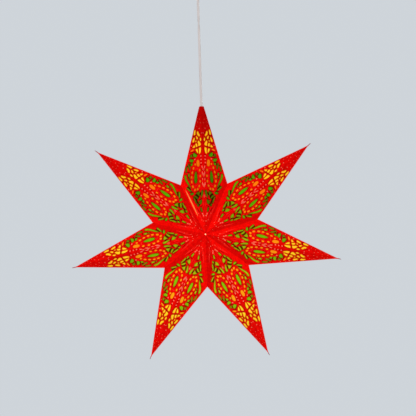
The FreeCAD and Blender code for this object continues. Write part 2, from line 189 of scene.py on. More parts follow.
class Finish(Nodes):
    """A material and its nodes. place is the piece's own coordinates."""

    def __init__(self, name):
        self.material = bpy.data.materials.new(name)
        super().__init__(self.material)
        self.place = self.add("ShaderNodeTexCoord").part("Object")

    def mix(self, factor, first, second, blend="MIX"):
        """Two colours mixed by a factor. A plain colour is given as three numbers."""
        ends = [v if isinstance(v, Signal) else (*v, 1) for v in (first, second)]
        return self.add(
            "ShaderNodeMix", {"data_type": "RGBA", "blend_type": blend},
            {0: factor, 6: ends[0], 7: ends[1]}, output=2)

    def scaled(self, colour, amount):
        """A colour or vector times a number."""
        return self.add("ShaderNodeVectorMath", {"operation": "SCALE"},
                        {0: colour, "Scale": amount})

    def step(self, value, low, high):
        """A smooth rise from 0 to 1 while the value goes from low to high."""
        return self.add("ShaderNodeMapRange", {"interpolation_type": "SMOOTHSTEP"},
                        {"Value": value, "From Min": low, "From Max": high})

    def noise(self, scale, detail=2.0, roughness=0.5, stretch=None, place=None):
        """Soft noise on the piece's own coordinates. Scale is in waves per metre."""
        place = place or self.place
        if stretch is not None:
            place = self.add("ShaderNodeMapping", {}, {"Vector": place, "Scale": stretch})
        return self.add("ShaderNodeTexNoise", {}, {
            "Vector": place, "Scale": scale, "Detail": detail, "Roughness": roughness})

    def bump(self, height, depth, strength):
        """A bump from a height signal between 0 and 1; depth is in metres."""
        return self.add("ShaderNodeBump", {}, {
            "Height": height, "Distance": depth, "Strength": strength})

    def end(self, shader):
        """Joins the last shader to the output and returns the material."""
        self.add("ShaderNodeOutputMaterial", {}, {"Surface": shader})
        return self.material

    def finish(self, **sockets):
        """Adds the Principled shader with these sockets and returns the material."""
        named = {word.replace("_", " ").title().replace("Ior", "IOR"): value
                 for word, value in sockets.items()}
        for word in ("Base Color", "Emission Color"):
            if word in named and not isinstance(named[word], Signal):
                named[word] = (*named[word], 1)
        return self.end(self.add("ShaderNodeBsdfPrincipled", {}, named))


print("finishes are made of: mix, scaled, step, noise and bump")

# %% [markdown]
# ## Camera
# A camera is placed either by eye or from measures. Here the star's fourteen corners were
# measured in the photograph, so its size, its place and its small lean are known, and the
# camera is worked out from them: it looks level along +Y from 1.8 m, rolled by the lean.

# %% Camera
FRAME_PX = 416
SENSOR = 36
TIP_RADIUS = 300 * MM
TIP_RADIUS_PX = 135.0
STAR_PX = (205.6, 232.9)
LEAN = math.radians(1.9)
DISTANCE = 1.8
CENTRE = np.array((0.0, 0.0, -590 * MM))

metres_per_px = TIP_RADIUS / TIP_RADIUS_PX
right = np.array((math.cos(LEAN), 0, -math.sin(LEAN)))
up = np.array((math.sin(LEAN), 0, math.cos(LEAN)))
back = np.array((0.0, -1.0, 0.0))
across_px = FRAME_PX / 2 - STAR_PX[0]
above_px = STAR_PX[1] - FRAME_PX / 2
aim = CENTRE + metres_per_px * (across_px * right + above_px * up)
stand = aim + DISTANCE * back

camera_data = bpy.data.cameras.new("camera")
camera_data.sensor_width = SENSOR
camera_data.lens = SENSOR * DISTANCE / (FRAME_PX * metres_per_px)
camera = bpy.data.objects.new("camera", camera_data)
camera.matrix_world = Matrix([
    [right[i], up[i], back[i], stand[i]] for i in range(3)] + [[0, 0, 0, 1]])
scene = bpy.context.scene
scene.collection.objects.link(camera)
scene.camera = camera
print("lens %.1f mm, one pixel is %.2f mm at the star" % (camera_data.lens, metres_per_px / MM))

# %% [markdown]
# ## Room and light
# A lantern is often shown in the dark, but a part is easier to judge in an even studio light.
# The floor is a pale disc that fades into a pale world, so it has no edge, and three
# large area lamps and the world's own light bring a colour out about as it is written.

# %% Floor
BACKDROP = (0.62, 0.66, 0.70)
FLOOR_LEVEL = -2.8
FLOOR_RINGS = np.array((0.02, 1.0, 3.0, 7.0, 14.0))
HAZE_FROM, HAZE_TO = 0.8, 3.0

angles = circle(64)
disc = np.stack((
    FLOOR_RINGS[:, None] * np.cos(angles), FLOOR_RINGS[:, None] * np.sin(angles),
    np.full((len(FLOOR_RINGS), len(angles)), FLOOR_LEVEL)), -1).reshape(-1, 3)
disc_faces = turned_over(grid_quads(len(FLOOR_RINGS), len(angles)))
disc_faces.append(list(range(len(angles))))
floor_mesh = bpy.data.meshes.new("floor")
floor_mesh.from_pydata([tuple(p) for p in disc], [], disc_faces)
floor = bpy.data.objects.new("floor", floor_mesh)
scene.collection.objects.link(floor)

ground = Finish("pale_floor")
spot = ground.add("ShaderNodeSeparateXYZ", {}, {0: ground.place})
away = ground.math("SQRT", spot.part("X") ** 2 + spot.part("Y") ** 2)
paint = ground.add("ShaderNodeBsdfDiffuse", {}, {"Color": (*BACKDROP, 1)})
haze = ground.add("ShaderNodeEmission", {}, {"Color": (*BACKDROP, 1)})
floor_mesh.materials.append(ground.end(ground.add("ShaderNodeMixShader", {}, {
    0: ground.step(away, HAZE_FROM, HAZE_TO), 1: paint, 2: haze})))
print("floor:", len(disc_faces), "faces,", -FLOOR_LEVEL, "m below the ceiling")

# %% World and lamps
WORLD_LIGHT = 0.55

scene.view_settings.view_transform = "Standard"
world = bpy.data.worlds.new("studio")
scene.world = world
studio = Nodes(world)
rays = studio.add("ShaderNodeLightPath")
mirrored = studio.math("MAXIMUM", rays.part("Is Glossy Ray"), rays.part("Is Transmission Ray"))
seen = studio.math("MAXIMUM", rays.part("Is Camera Ray"), mirrored)
light = studio.add("ShaderNodeBackground", {}, {
    "Color": (1, 1, 1, 1), "Strength": WORLD_LIGHT})
shown = studio.add("ShaderNodeBackground", {}, {"Color": (*BACKDROP, 1)})
studio.add("ShaderNodeOutputWorld", {}, {
    "Surface": studio.add("ShaderNodeMixShader", {}, {0: seen, 1: light, 2: shown})})

# name, place, size and power in watts
LAMPS = (
    ("key", (-1.7, -2.3, 0.7), 1.8, 52),
    ("fill", (2.2, -2.0, -0.4), 2.2, 30),
    ("rear", (0.8, 2.8, 0.6), 2.2, 60),
)
for name, place, size, watts in LAMPS:
    lamp_data = bpy.data.lights.new(name, "AREA")
    lamp_data.size = size
    lamp_data.energy = watts
    lamp = bpy.data.objects.new(name, lamp_data)
    toward = Vector(CENTRE) - Vector(place)
    lamp.rotation_euler = toward.to_track_quat("-Z", "Y").to_euler()
    lamp.location = place
    scene.collection.objects.link(lamp)
print("lamps:", [lamp[0] for lamp in LAMPS], "world light", WORLD_LIGHT)

# %% [markdown]
# ## The twin flex
# Small lamp flex is two round cores side by side with a thin web between them. A curve with a
# round bevel can't show that, so a figure of eight outline is carried along the route as a
# grid. The route is the same straight run as in the solids, read back from its spline. The
# photograph shows one half turn of the flat flex high up, so the outline turns over there.

# %% Flex helpers
CORD_WIDTH = 5.4 * MM
CORE_RADIUS = 1.6 * MM
WEB_HALF = 0.95 * MM


def spline_points(route, steps):
    """Points read from an open NURBS spline of order 3 whose control points are the route."""
    curve = bpy.data.curves.new("route", "CURVE")
    curve.dimensions = "3D"
    spline = curve.splines.new("NURBS")
    spline.points.add(len(route) - 1)
    for point, place in zip(spline.points, route):
        point.co = (*place, 1)
    spline.order_u = 3
    spline.use_endpoint_u = True
    spline.resolution_u = steps
    holder = bpy.data.objects.new("route", curve)
    line = bpy.data.meshes.new_from_object(holder)
    points = np.array([tuple(v.co) for v in line.vertices])
    bpy.data.objects.remove(holder)
    bpy.data.meshes.remove(line)
    return points


def flex_outline(columns=40):
    """Outline of twin flex, counted round it.

    x runs as the cosine of the column's angle; y is the height of the core at that x,
    the root of radius^2 - (|x| - offset)^2, and never less than the web between the cores.
    """
    offset = CORD_WIDTH / 2 - CORE_RADIUS
    turn = circle(columns)
    x = CORD_WIDTH / 2 * np.cos(turn)
    core = np.sqrt(np.maximum(CORE_RADIUS ** 2 - (np.abs(x) - offset) ** 2, 0))
    height = np.where(np.abs(x) < offset, np.maximum(core, WEB_HALF), core)
    return np.stack((x, np.sign(np.sin(turn)) * height), -1)


def flex_piece(name, line, body, material, twist):
    """Carries the flex outline down a straight line; twist gives its turn at a height."""
    outline = flex_outline()
    turn = twist(line[:, 2])[:, None]
    x = outline[:, 0] * np.cos(turn) - outline[:, 1] * np.sin(turn)
    y = outline[:, 0] * np.sin(turn) + outline[:, 1] * np.cos(turn)
    points = np.stack((x + line[:, :1], y + line[:, 1:2], 0 * x + line[:, 2:]), -1)
    faces = tube_faces(len(line), len(outline))
    if line[0, 2] > line[-1, 2]:
        faces = turned_over(faces)
    return add_piece(name, points.reshape(-1, 3), faces, body, [material])


print("flex outline of", len(flex_outline()), "points")

# %% The flex
CORD_ROUTE = [(0, 0, z * MM) for z in (-46, -150, -250, -350, -440, -528)]
TWIST_MIDDLE = -124 * MM
TWIST_HALF = 16 * MM


def half_turn(z):
    """Half a turn round the twist's middle, as t goes from 0 to 1 there: pi (3t^2 - 2t^3)."""
    t = np.clip((z - TWIST_MIDDLE + TWIST_HALF) / (2 * TWIST_HALF), 0, 1)
    return math.pi * t * t * (3 - 2 * t)


sheath = Finish("pale_flex_sheath")
soiling = sheath.noise(90, detail=3.0, stretch=(1, 1, 0.3))
ripple = sheath.noise(900, detail=1.0, stretch=(1, 1, 0.25))
sheath_material = sheath.finish(
    base_color=sheath.mix(soiling, (0.45, 0.40, 0.39), (0.53, 0.48, 0.46)),
    roughness=soiling * 0.2 + 0.32, normal=sheath.bump(ripple, 0.15 * MM, 0.5))

cord_line = spline_points(CORD_ROUTE, 24)
cord = flex_piece("flex", cord_line, "cord", sheath_material, half_turn)
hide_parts("pendant_cord")
cord_length = float(np.linalg.norm(np.diff(cord_line, axis=0), axis=1).sum())
print("flex: %d rings, %.1f mm long" % (len(cord_line), cord_length / MM))

# %% [markdown]
# ## Where the sheets lie
# The star is twenty eight flat triangles of paper: each of the seven points has two in front
# and two behind, which meet at a raised ridge, at the outer crease and at the valleys beside
# the next point. On a sheet, u runs down the ridge from the tip to the hub and v runs across
# it to the notch. Each triangle is worked out from three corners, so it needs no fitting.

# %% Sheet axes
POINTS = 7
NOTCH_RADIUS = 120 * MM
HALF_DEPTH = 95 * MM
HALF_ANGLE = math.pi / POINTS


def turned(vector, point):
    """Turns x, y, z about +Y from the top point to another, clockwise from the front."""
    angle = (point - 1) * 2 * HALF_ANGLE
    x, y, z = vector
    return np.array((
        x * math.cos(angle) + z * math.sin(angle), y,
        z * math.cos(angle) - x * math.sin(angle)))


def sheet_axes(point, face, side):
    """The tip of a sheet, its u, v and outward directions, and 1 or -1 for its hand.

    u is the unit vector from tip to hub, v is what is left of tip to notch after its part
    along u is taken away, and the outward direction is their cross product or its opposite.
    """
    depth = -1 if face == "front" else 1
    across = 1 if side == "right" else -1
    tip = turned((0, 0, TIP_RADIUS), point)
    hub = np.array((0, depth * HALF_DEPTH, 0))
    notch = turned((
        across * NOTCH_RADIUS * math.sin(HALF_ANGLE), 0,
        NOTCH_RADIUS * math.cos(HALF_ANGLE)), point)
    u = (hub - tip) / np.linalg.norm(hub - tip)
    v = (notch - tip) - ((notch - tip) @ u) * u
    v = v / np.linalg.norm(v)
    w = np.cross(u, v)
    hand = 1 if w[1] * depth > 0 else -1
    return tip + CENTRE, u, v, w * hand, hand


RIDGE = math.hypot(TIP_RADIUS, HALF_DEPTH) / MM
NOTCH_U = ((TIP_RADIUS ** 2 - TIP_RADIUS * NOTCH_RADIUS * math.cos(HALF_ANGLE))
           / (RIDGE * MM) / MM)
CREASE_SQUARE = (TIP_RADIUS ** 2 + NOTCH_RADIUS ** 2
                 - 2 * TIP_RADIUS * NOTCH_RADIUS * math.cos(HALF_ANGLE)) / MM ** 2
NOTCH_V = math.sqrt(CREASE_SQUARE - NOTCH_U ** 2)
print("a sheet: ridge %.1f mm, notch at u %.1f and v %.1f mm" % (RIDGE, NOTCH_U, NOTCH_V))

# %% [markdown]
# ## The pierced pattern
# The real sheets are cut with a die and backed with coloured tissue. The pattern is a common
# leaf and bead ornament: a mosaic of yellow cells near the tip, green leaves along the crease,
# a ring of orange beads round one long leaf, and a fan of leaves towards the hub. It is drawn
# as a few kinds of outline, in millimetres on the sheet, so every shape can be moved by hand.

# %% Three kinds of outline

def rounded(corners, share=0.14):
    """A cell with soft corners: each side keeps its middle, from share to 1 - share."""
    corners = np.asarray(corners, float)
    after = np.roll(corners, -1, 0)
    near = corners + (after - corners) * share
    far = corners + (after - corners) * (1 - share)
    return np.stack((near, far), 1).reshape(-1, 2)


def leaf(start, end, width, bend=0.0, fullness=0.75, steps=7):
    """A leaf from start to end, pointed at both ends.

    Its middle line is the chord moved aside by bend * 4t(1 - t), and its half width is
    width / 2 * sin(pi t) ^ fullness.
    """
    start, end = np.asarray(start, float), np.asarray(end, float)
    along = end - start
    aside = np.array((-along[1], along[0])) / np.linalg.norm(along)
    t = np.linspace(0, 1, steps)[:, None]
    middle = start + along * t + aside * bend * 4 * t * (1 - t)
    half = aside * width / 2 * np.sin(math.pi * t) ** fullness
    return np.concatenate((
        middle[:1], (middle - half)[1:-1], middle[-1:], (middle + half)[-2:0:-1]))


def bead(u, v, length, width, turn=0.0, columns=10):
    """A round or oval bead; turn is in degrees."""
    angle = circle(columns)
    x, y = length / 2 * np.cos(angle), width / 2 * np.sin(angle)
    turn = math.radians(turn)
    return np.stack((
        u + x * math.cos(turn) - y * math.sin(turn),
        v + x * math.sin(turn) + y * math.cos(turn)), -1)


print("corners of a leaf and a bead:", len(leaf((0, 0), (9, 0), 2)), len(bead(0, 0, 3, 3)))

# %% Yellow cells
YELLOW = [rounded(c) for c in (
    ((71.8, 17), (74.6, 12.6), (79, 11.6), (82, 8.6), (85, 8.2), (87.6, 10.4), (84.8, 13.4),
     (82.2, 17), (76, 19)),
    ((88.8, 8), (91, 5), (95, 3.4), (98.6, 4.8), (97.8, 8.4), (92.4, 9.8)),
    ((93.8, 15), (96.8, 11), (101, 7.6), (104.4, 5.6), (107.8, 6.8), (108.6, 12), (107.4, 15.4),
     (102.4, 15), (98.4, 17)),
    ((82.2, 20.4), (84.8, 17.4), (88.4, 14.6), (91.4, 14.4), (92, 18.6), (88.6, 20.8),
     (84.2, 22.4)),
    ((92, 21), (96.2, 19.6), (97.4, 23.4), (94.4, 25.6)),
    ((98.8, 21.6), (101.6, 18.2), (106, 17), (108.4, 17.4), (108.8, 23.2), (104, 24), (100, 25)),
    ((66.8, 24.4), (69.4, 21.8), (74, 22.2), (79.4, 23.2), (81, 27), (78.6, 29.6), (72, 28.6)),
    ((84, 27.2), (87.4, 24.6), (91.4, 26.6), (94.6, 27.4), (96.4, 31), (94.2, 35), (90.4, 33.6),
     (86.6, 30.6)),
    ((101.6, 27.2), (104.6, 25.6), (108.8, 25), (108.8, 31), (106.6, 35.6), (104, 31.6)),
    ((111.2, 9), (112.8, 5.4), (119, 5.6), (124.6, 7.8), (127.2, 11), (125.4, 13.6), (121, 13),
     (113, 14)),
    ((111.8, 22), (113.6, 17), (119, 16), (124.6, 14.8), (122.4, 18.8), (118.4, 22),
     (113.8, 24.8)),
)]
print("yellow cells:", len(YELLOW))

# %% [markdown]
# ## Leaves of three greens
# Where the pattern is dense, fine leaves and the paper between them blend into a duller
# green. So the small leaves by the crease are grass green, the fan by the hub is olive, and
# the thinnest leaves at the edge are umber. The long leaf in the ring of beads stands alone.

# %% Leaves
SMALL_GREEN = [rounded(c) for c in (
    ((129, 19.4), (130.8, 24), (129.6, 29), (127, 32.2), (121.6, 33), (120, 31), (121.8, 27),
     (125, 22.4)),
    ((135.4, 32.6), (138.8, 32.8), (140.2, 36), (139.4, 40.8), (135.8, 44.2), (130.8, 46.4),
     (132.8, 40)),
    ((143, 35.4), (146, 36), (148.4, 39.6), (146.4, 42.2), (142.4, 41.4)),
)]
GREEN = [rounded(c) for c in (
    ((210, 45), (209.8, 39.4), (211.6, 35), (213.8, 35.2), (215.2, 39), (213.8, 44),
     (211.2, 47.2)),
    ((163, 25.6), (167.4, 23.3), (172.2, 22.2), (178, 21.7), (184.6, 22), (189.4, 24),
     (191.2, 26.6), (189.4, 29.4), (184.6, 31.2), (178, 31.3), (171.2, 30.1), (166.4, 28.1)),
)]
UMBER = [rounded(c) for c in (
    ((122.2, 36.8), (128.4, 36), (128, 39.8), (125.6, 43.4), (122.4, 42)),
    ((141, 48.6), (145.6, 47), (150, 44), (155, 43.4), (155.8, 45.8), (151, 48.6), (146, 50.4),
     (142, 51)),
    ((145, 54.4), (149, 54.2), (154, 55), (159, 56.6), (158.4, 59.2), (152, 59.6),
     (146.6, 57.6)),
)]
OLIVE = [rounded(c) for c in (
    ((211, 6.4), (213, 3.4), (218, 3.2), (223, 5.6), (227.4, 9.6), (228, 12.4), (223.4, 11.4),
     (218, 10), (212.6, 9.6)),
    ((212.2, 15.8), (216, 15), (220.4, 16.4), (223, 17), (219.8, 20.2), (217, 23.4), (214.6, 28),
     (213, 24), (212, 19)),
    ((232, 9.8), (234.6, 7.8), (238.8, 8.2), (242, 10.8), (243, 14.4), (240, 16.6), (237.4, 17),
     (236.2, 20.8), (234.4, 18.6), (233, 14.6)),
    ((162.2, 49.4), (165.4, 46.4), (169.2, 46), (172.4, 48.4), (170.4, 51.4), (164.4, 52)),
    ((163.6, 62.2), (164.8, 59.4), (168.2, 57.9), (174.2, 56.8), (180.2, 53.5), (186.2, 49.9),
     (192.2, 46.4), (198, 44), (200.4, 43.8), (195.6, 47.5), (189.6, 52.2), (183.6, 56.7),
     (177.8, 60.6), (171.4, 63.6), (165.8, 64.2)),
    ((193.6, 58), (195.6, 53.6), (199.6, 49.4), (203, 44.8), (206.8, 40), (206.2, 44.6),
     (202.8, 50.2), (198.4, 55.4), (195, 59)),
    ((217.8, 32.6), (219, 28), (222.4, 24), (225.6, 21), (228.8, 20), (227.6, 24), (225, 27.2),
     (221.8, 30), (220, 34)),
    ((220, 36), (222.4, 32.8), (226.4, 30.6), (231, 27.6), (236, 26), (239, 26.4), (236.4, 29.2),
     (231.6, 31.8), (225.6, 34), (222, 37)),
    ((239, 22.2), (241.6, 20), (246.2, 19.4), (245.4, 22.8), (242, 24.8), (239.2, 24.6)),
    ((249.4, 12.6), (251, 10), (255, 8.6), (260.4, 7.4), (261, 9.8), (256.6, 12.4),
     (251.4, 14.6)),
)] + [leaf((173.4, 51.6), (177.6, 45), 2.0)]
print("leaves:", len(SMALL_GREEN + GREEN + UMBER + OLIVE))

# %% [markdown]
# ## Dark gaps and shaded lines
# Between the leaves the paper is so narrow that it stays dark, and next to the cut-outs it
# shows thin lines of deeper red. Both are painted shade, drawn as flat shapes on the face of
# the paper: a cut would be wrong here, and a drawn line is cheaper than a fold.

# %% Gaps and lines
DARK = [rounded(c) for c in (
    ((120.8, 33.6), (127.8, 32.6), (128.2, 36), (121.6, 37)),
    ((140, 34), (142.6, 35.6), (142.2, 42.6), (139.6, 43)),
    ((142, 42.4), (147, 42.6), (147.4, 45.2), (142.4, 47.6)),
    ((142.6, 51), (147.6, 50.8), (148, 53.6), (144.4, 54.2)),
    ((190.8, 53), (196, 48.4), (201, 44.6), (205.4, 40.8), (202, 46.4), (196.6, 52.2),
     (192.8, 57)),
    ((213, 11), (218, 11), (223, 12.8), (221, 15.8), (216.4, 14.2)),
    ((226.6, 17), (227.8, 19.6), (222.6, 23.4), (218, 28.6), (216.4, 32), (215.2, 28.6),
     (219, 22), (223, 18)),
    ((221, 31.4), (226.2, 27.2), (229.4, 23), (232.6, 21.6), (231, 26), (226, 30.4)),
    ((229.4, 25.4), (233, 22), (237.4, 20.8), (239.6, 18.4), (241.2, 18.6), (238.6, 22.8),
     (236.6, 25.2), (231, 27)),
    ((238.6, 17.2), (243, 15.6), (246.6, 17), (245, 19), (240, 19.4)),
)]
SHADE = [leaf(a, b, width, bend, 0.4) for a, b, width, bend in (
    ((117.6, 30), (127.4, 16), 2.8, 0.8), ((130.4, 48), (132, 26), 2.6, 0),
    ((137, 50), (142, 40), 2.4, 0), ((142.6, 26.6), (148, 21.6), 2.0, 0),
    ((156.6, 63), (161.4, 45), 2.4, 0), ((161.6, 57.4), (182, 48.4), 2.6, -1.0),
    ((150, 39), (179, 47.4), 1.7, -1.6), ((178, 48.6), (208, 34.4), 2.0, -2.4),
    ((206.4, 51), (210.4, 34), 2.6, 0), ((210.6, 33), (206.6, 9), 1.9, 2.0),
    ((229.4, 4), (231.6, 20), 2.4, 0), ((247.6, 4.6), (247.4, 18), 2.0, 0),
    ((158, 8.2), (176, 6.4), 1.5, 0.6), ((176, 7.4), (206, 9.4), 1.6, 1.2),
    ((159.4, 22), (176, 15.6), 1.6, 1.6), ((176, 15.8), (196.4, 22), 1.6, 2.0),
    ((196, 20), (196.4, 33), 1.7, 1.2), ((176, 36.6), (197, 31.6), 1.6, -1.6),
    ((158, 29), (176, 36.4), 1.6, -1.4), ((109.6, 3.4), (110.2, 30), 1.9, 0),
    ((98.4, 25), (99, 34), 2.2, 0), ((81.4, 21), (82.6, 33), 2.2, 0),
    ((87.6, 12.6), (94, 11.4), 2.6, 0), ((92.4, 17.8), (99.2, 18.6), 2.2, 0),
    ((84.6, 23.4), (91.6, 23), 2.4, 0), ((118.4, 22.6), (117.6, 42), 1.8, 0.4),
    ((216, 38.6), (232, 35.4), 2.0, 0), ((249, 16.6), (262, 12.4), 1.8, 0),
    ((247, 25.6), (258, 19), 1.8, 0), ((73, 20), (80.6, 20.8), 1.8, 0),
    ((70, 13), (84, 5.6), 1.4, -0.6), ((88, 2.2), (108, 3.2), 1.4, 0),
    ((112, 3), (128, 7), 1.6, -0.8), ((129, 12), (130, 3.4), 1.5, 0),
    ((136, 12), (137.4, 4), 1.5, 0), ((143.6, 11), (144.6, 3), 1.5, 0),
    ((151.4, 10.6), (152.4, 3), 1.5, 0), ((163, 6.4), (168, 1.4), 1.5, 0),
    ((180.6, 5.6), (186, 1.2), 1.5, 0), ((209.6, 2.2), (218, 1.0), 1.4, 0),
    ((226, 16), (222, 13.4), 1.6, 0), ((104, 38.6), (108, 35.6), 1.6, 0),
    ((236, 3.6), (262, 4.4), 1.3, 0.6), ((252, 22), (274, 9.6), 1.4, -0.8))]
print("dark gaps:", len(DARK), "lines:", len(SHADE))

# %% [markdown]
# ## Beads, pricks and slits
# Round beads of orange tissue circle the long leaf. The pale dots and dashes between them are
# bare holes, pricked with a pin or a fine chisel, so they show the lamp's own light.

# %% Beads, pricks and slits
ORANGE = [
    rounded(((138, 18.4), (140, 14.4), (144, 12.8), (150, 12), (155, 14.4), (154.6, 18.8),
             (150, 22.6), (143.6, 23), (139.6, 21.6))),
    leaf((113, 28.6), (114.6, 42), 4.4, 0.6, 0.6),
] + [bead(*b) for b in (
    (147.2, 27, 5.6, 6.2, 30), (154.8, 33.2, 7.2, 6, 20), (163.8, 37.6, 7.2, 6, 15),
    (174, 40.4, 7.4, 6, -25), (184.4, 40.4, 8.4, 6, -18), (196.4, 37, 8.8, 5.8, -38),
    (205.2, 30, 6, 8), (205.6, 21.4, 6.4, 7, 20), (199.6, 15.6, 6.4, 6.6),
    (189.6, 12.2, 7.4, 6, -15), (177.6, 11.2, 7.2, 5.8, -12), (164, 12.4, 6.8, 6, -10))]
PRICKS = [bead(u, v, size, size * 1.3, 0, 8) for u, v, size in (
    (24, 4, 1.4), (30, 8, 1.6), (37, 3, 1.4), (39, 12, 1.4), (47, 8, 1.8), (52, 15, 1.4),
    (56, 5, 1.6), (61, 18, 1.4), (68, 9.8, 2.6), (80, 3, 2.2), (84, 34, 1.6), (102, 37.6, 3.0),
    (109, 43.4, 1.6), (132.2, 7.2, 3.0), (140.2, 7, 2.9), (147.8, 7.2, 3.0),
    (135.4, 27.6, 3.0), (120, 46.6, 1.6), (283, 3.6, 2.0), (270.6, 4.4, 2.8),
    (279, 10.5, 1.4), (262, 20.5, 1.4), (294, 4.2, 1.2))]
PRICKS += [leaf(a, b, width, 0, 0.45, 5) for a, b, width in (
    ((154.6, 5.4), (161.6, 3.4), 2.4), ((160, 2.2), (168, 1.3), 1.4),
    ((167.6, 4.4), (176.6, 3.9), 1.9), ((171.6, 1.6), (181.6, 1.3), 1.7),
    ((182.6, 4.2), (190, 3.4), 1.6), ((192, 4.8), (202, 3.9), 2.1),
    ((195.6, 1.9), (206.6, 1.4), 1.9), ((221, 2.4), (230, 1.5), 1.5),
    ((262.8, 9.6), (268.6, 5.6), 2.0))]
SLITS = [leaf(a, b, 1.3, bend, 0.5, 6) for a, b, bend in (
    ((256, 4.6), (280, 3.0), 1.0), ((262, 15.5), (286, 7.0), 1.2), ((248, 30), (275, 15.5), -1.0),
    ((236, 3.0), (252, 4.0), 0.4), ((240, 36), (262, 24), -0.8), ((160, 16), (158, 29), 0.8),
    ((194, 20), (195, 33), -1.4), ((170, 17), (186, 16.6), -0.8), ((172, 35), (188, 34.8), 0.8))]
print("beads:", len(ORANGE), "pricks:", len(PRICKS), "slits:", len(SLITS))

# %% [markdown]
# ## From outlines to a pierced sheet
# Cut-outs could be made with Booleans, which are slow and leave broken faces on paper this
# thin. Here all outlines go into one flat triangulation that keeps them as edges. Triangles
# inside a cut-out are lowered to the tissue behind it, and walls are put up where the level
# changes. The result is one closed skin, and the same flat net serves every sheet.

# %% From the view to the sheet
NEARNESS = HALF_DEPTH / DISTANCE


def on_sheet(outline):
    """Moves an outline from the photograph's flattened view to its true place on a sheet.

    The outlines were read as if each sheet were seen from far away. In truth its hub is
    nearer the camera than its tip and notch, so it looks larger: by 1 / (1 - a h), with a
    the half depth over the camera's distance and h the share of the hub in a place. The
    share read is h' = (u - v * notch u / notch v) / ridge, and the true one is
    h = h' / (1 - a (1 - h')). The notch's share shrinks by 1 - a h.
    """
    notch = outline[:, 1] / NOTCH_V
    hub = (outline[:, 0] - notch * NOTCH_U) / RIDGE
    hub = hub / (1 - NEARNESS * (1 - hub))
    notch = notch * (1 - NEARNESS * hub)
    return np.stack((hub * RIDGE + notch * NOTCH_U, notch * NOTCH_V), -1)


print("the place (150, 30) moves to", on_sheet(np.array(((150.0, 30.0),)))[0].round(1))

# %% What an outline can tell
WIDE_ENOUGH = 1.4


def signed_area(outline):
    """Half the sum of x1 * y2 - x2 * y1, which is above zero for an anticlockwise outline."""
    after = np.roll(outline, -1, 0)
    return (outline[:, 0] * after[:, 1] - after[:, 0] * outline[:, 1]).sum() / 2


def anticlockwise(outline):
    """The outline with its area above zero: turned round where it ran clockwise."""
    return outline if signed_area(outline) > 0 else outline[::-1]


def is_wide(outline):
    """Whether twice the area over the perimeter, about the half width, is large enough."""
    round_it = np.linalg.norm(np.roll(outline, -1, 0) - outline, axis=1).sum()
    return 2 * abs(signed_area(outline)) / round_it > WIDE_ENOUGH


def offset(outline, distance):
    """Moves each corner outwards along the mean of its two sides' normals.

    The move is distance / cos(half the turn), and at most twice the distance.
    """
    side = np.roll(outline, -1, 0) - outline
    side = side / np.linalg.norm(side, axis=1)[:, None]
    normal = np.stack((side[:, 1], -side[:, 0]), -1)
    mean = normal + np.roll(normal, 1, 0)
    mean = mean / np.maximum(np.linalg.norm(mean, axis=1), 1e-9)[:, None]
    reach = 1 / np.maximum((mean * normal).sum(1), 0.5)
    return outline + mean * (distance * reach)[:, None]


def inside(places, outline):
    """Whether each place lies in the outline, by the number of sides that a ray crosses."""
    x, y = places[:, :1], places[:, 1:2]
    near, far = outline, np.roll(outline, -1, 0)
    rise = far[:, 1] - near[:, 1]
    rise = np.where(rise == 0, 1e-12, rise)
    spans = (near[:, 1] > y) != (far[:, 1] > y)
    crossing = near[:, 0] + (y - near[:, 1]) * (far[:, 0] - near[:, 0]) / rise
    return (spans & (x < crossing)).sum(1) % 2 == 1


print("area of a sheet's long leaf: %.0f mm2" % signed_area(anticlockwise(GREEN[1])))

# %% [markdown]
# ## The flat net
# Every triangle of the net has a kind: red paper, a line, a gap or one of the tissues. Where
# outlines overlap, the later one wins, so lines come first and openings last. Each kind of
# tissue has a thin line round it. A wide cut-out also has a second outline inside, so that
# its colour can change softly between the two: from the rim, pasted and in painted shade,
# to the bare middle.

# %% Kinds and the net
(RED, DEEP_RED, LINE, AMBER_LINE, YELLOW_TISSUE, GREEN_TISSUE, OLIVE_TISSUE, UMBER_TISSUE,
 ORANGE_TISSUE, PRICK, SLIT, SEAM, INSIDE) = range(13)
# the kind of line round a tissue, and its width in mm
LINES = {
    YELLOW_TISSUE: (AMBER_LINE, 1.1), GREEN_TISSUE: (LINE, 1.1), OLIVE_TISSUE: (LINE, 1.0),
    UMBER_TISSUE: (LINE, 1.0), ORANGE_TISSUE: (DEEP_RED, 0.6)}
SOFT_EDGE = 1.2
TOLERANCE = 1e-4
# how far outside an inner outline a place still counts as inside it, as its own corners do
CORE_SLACK = 0.05


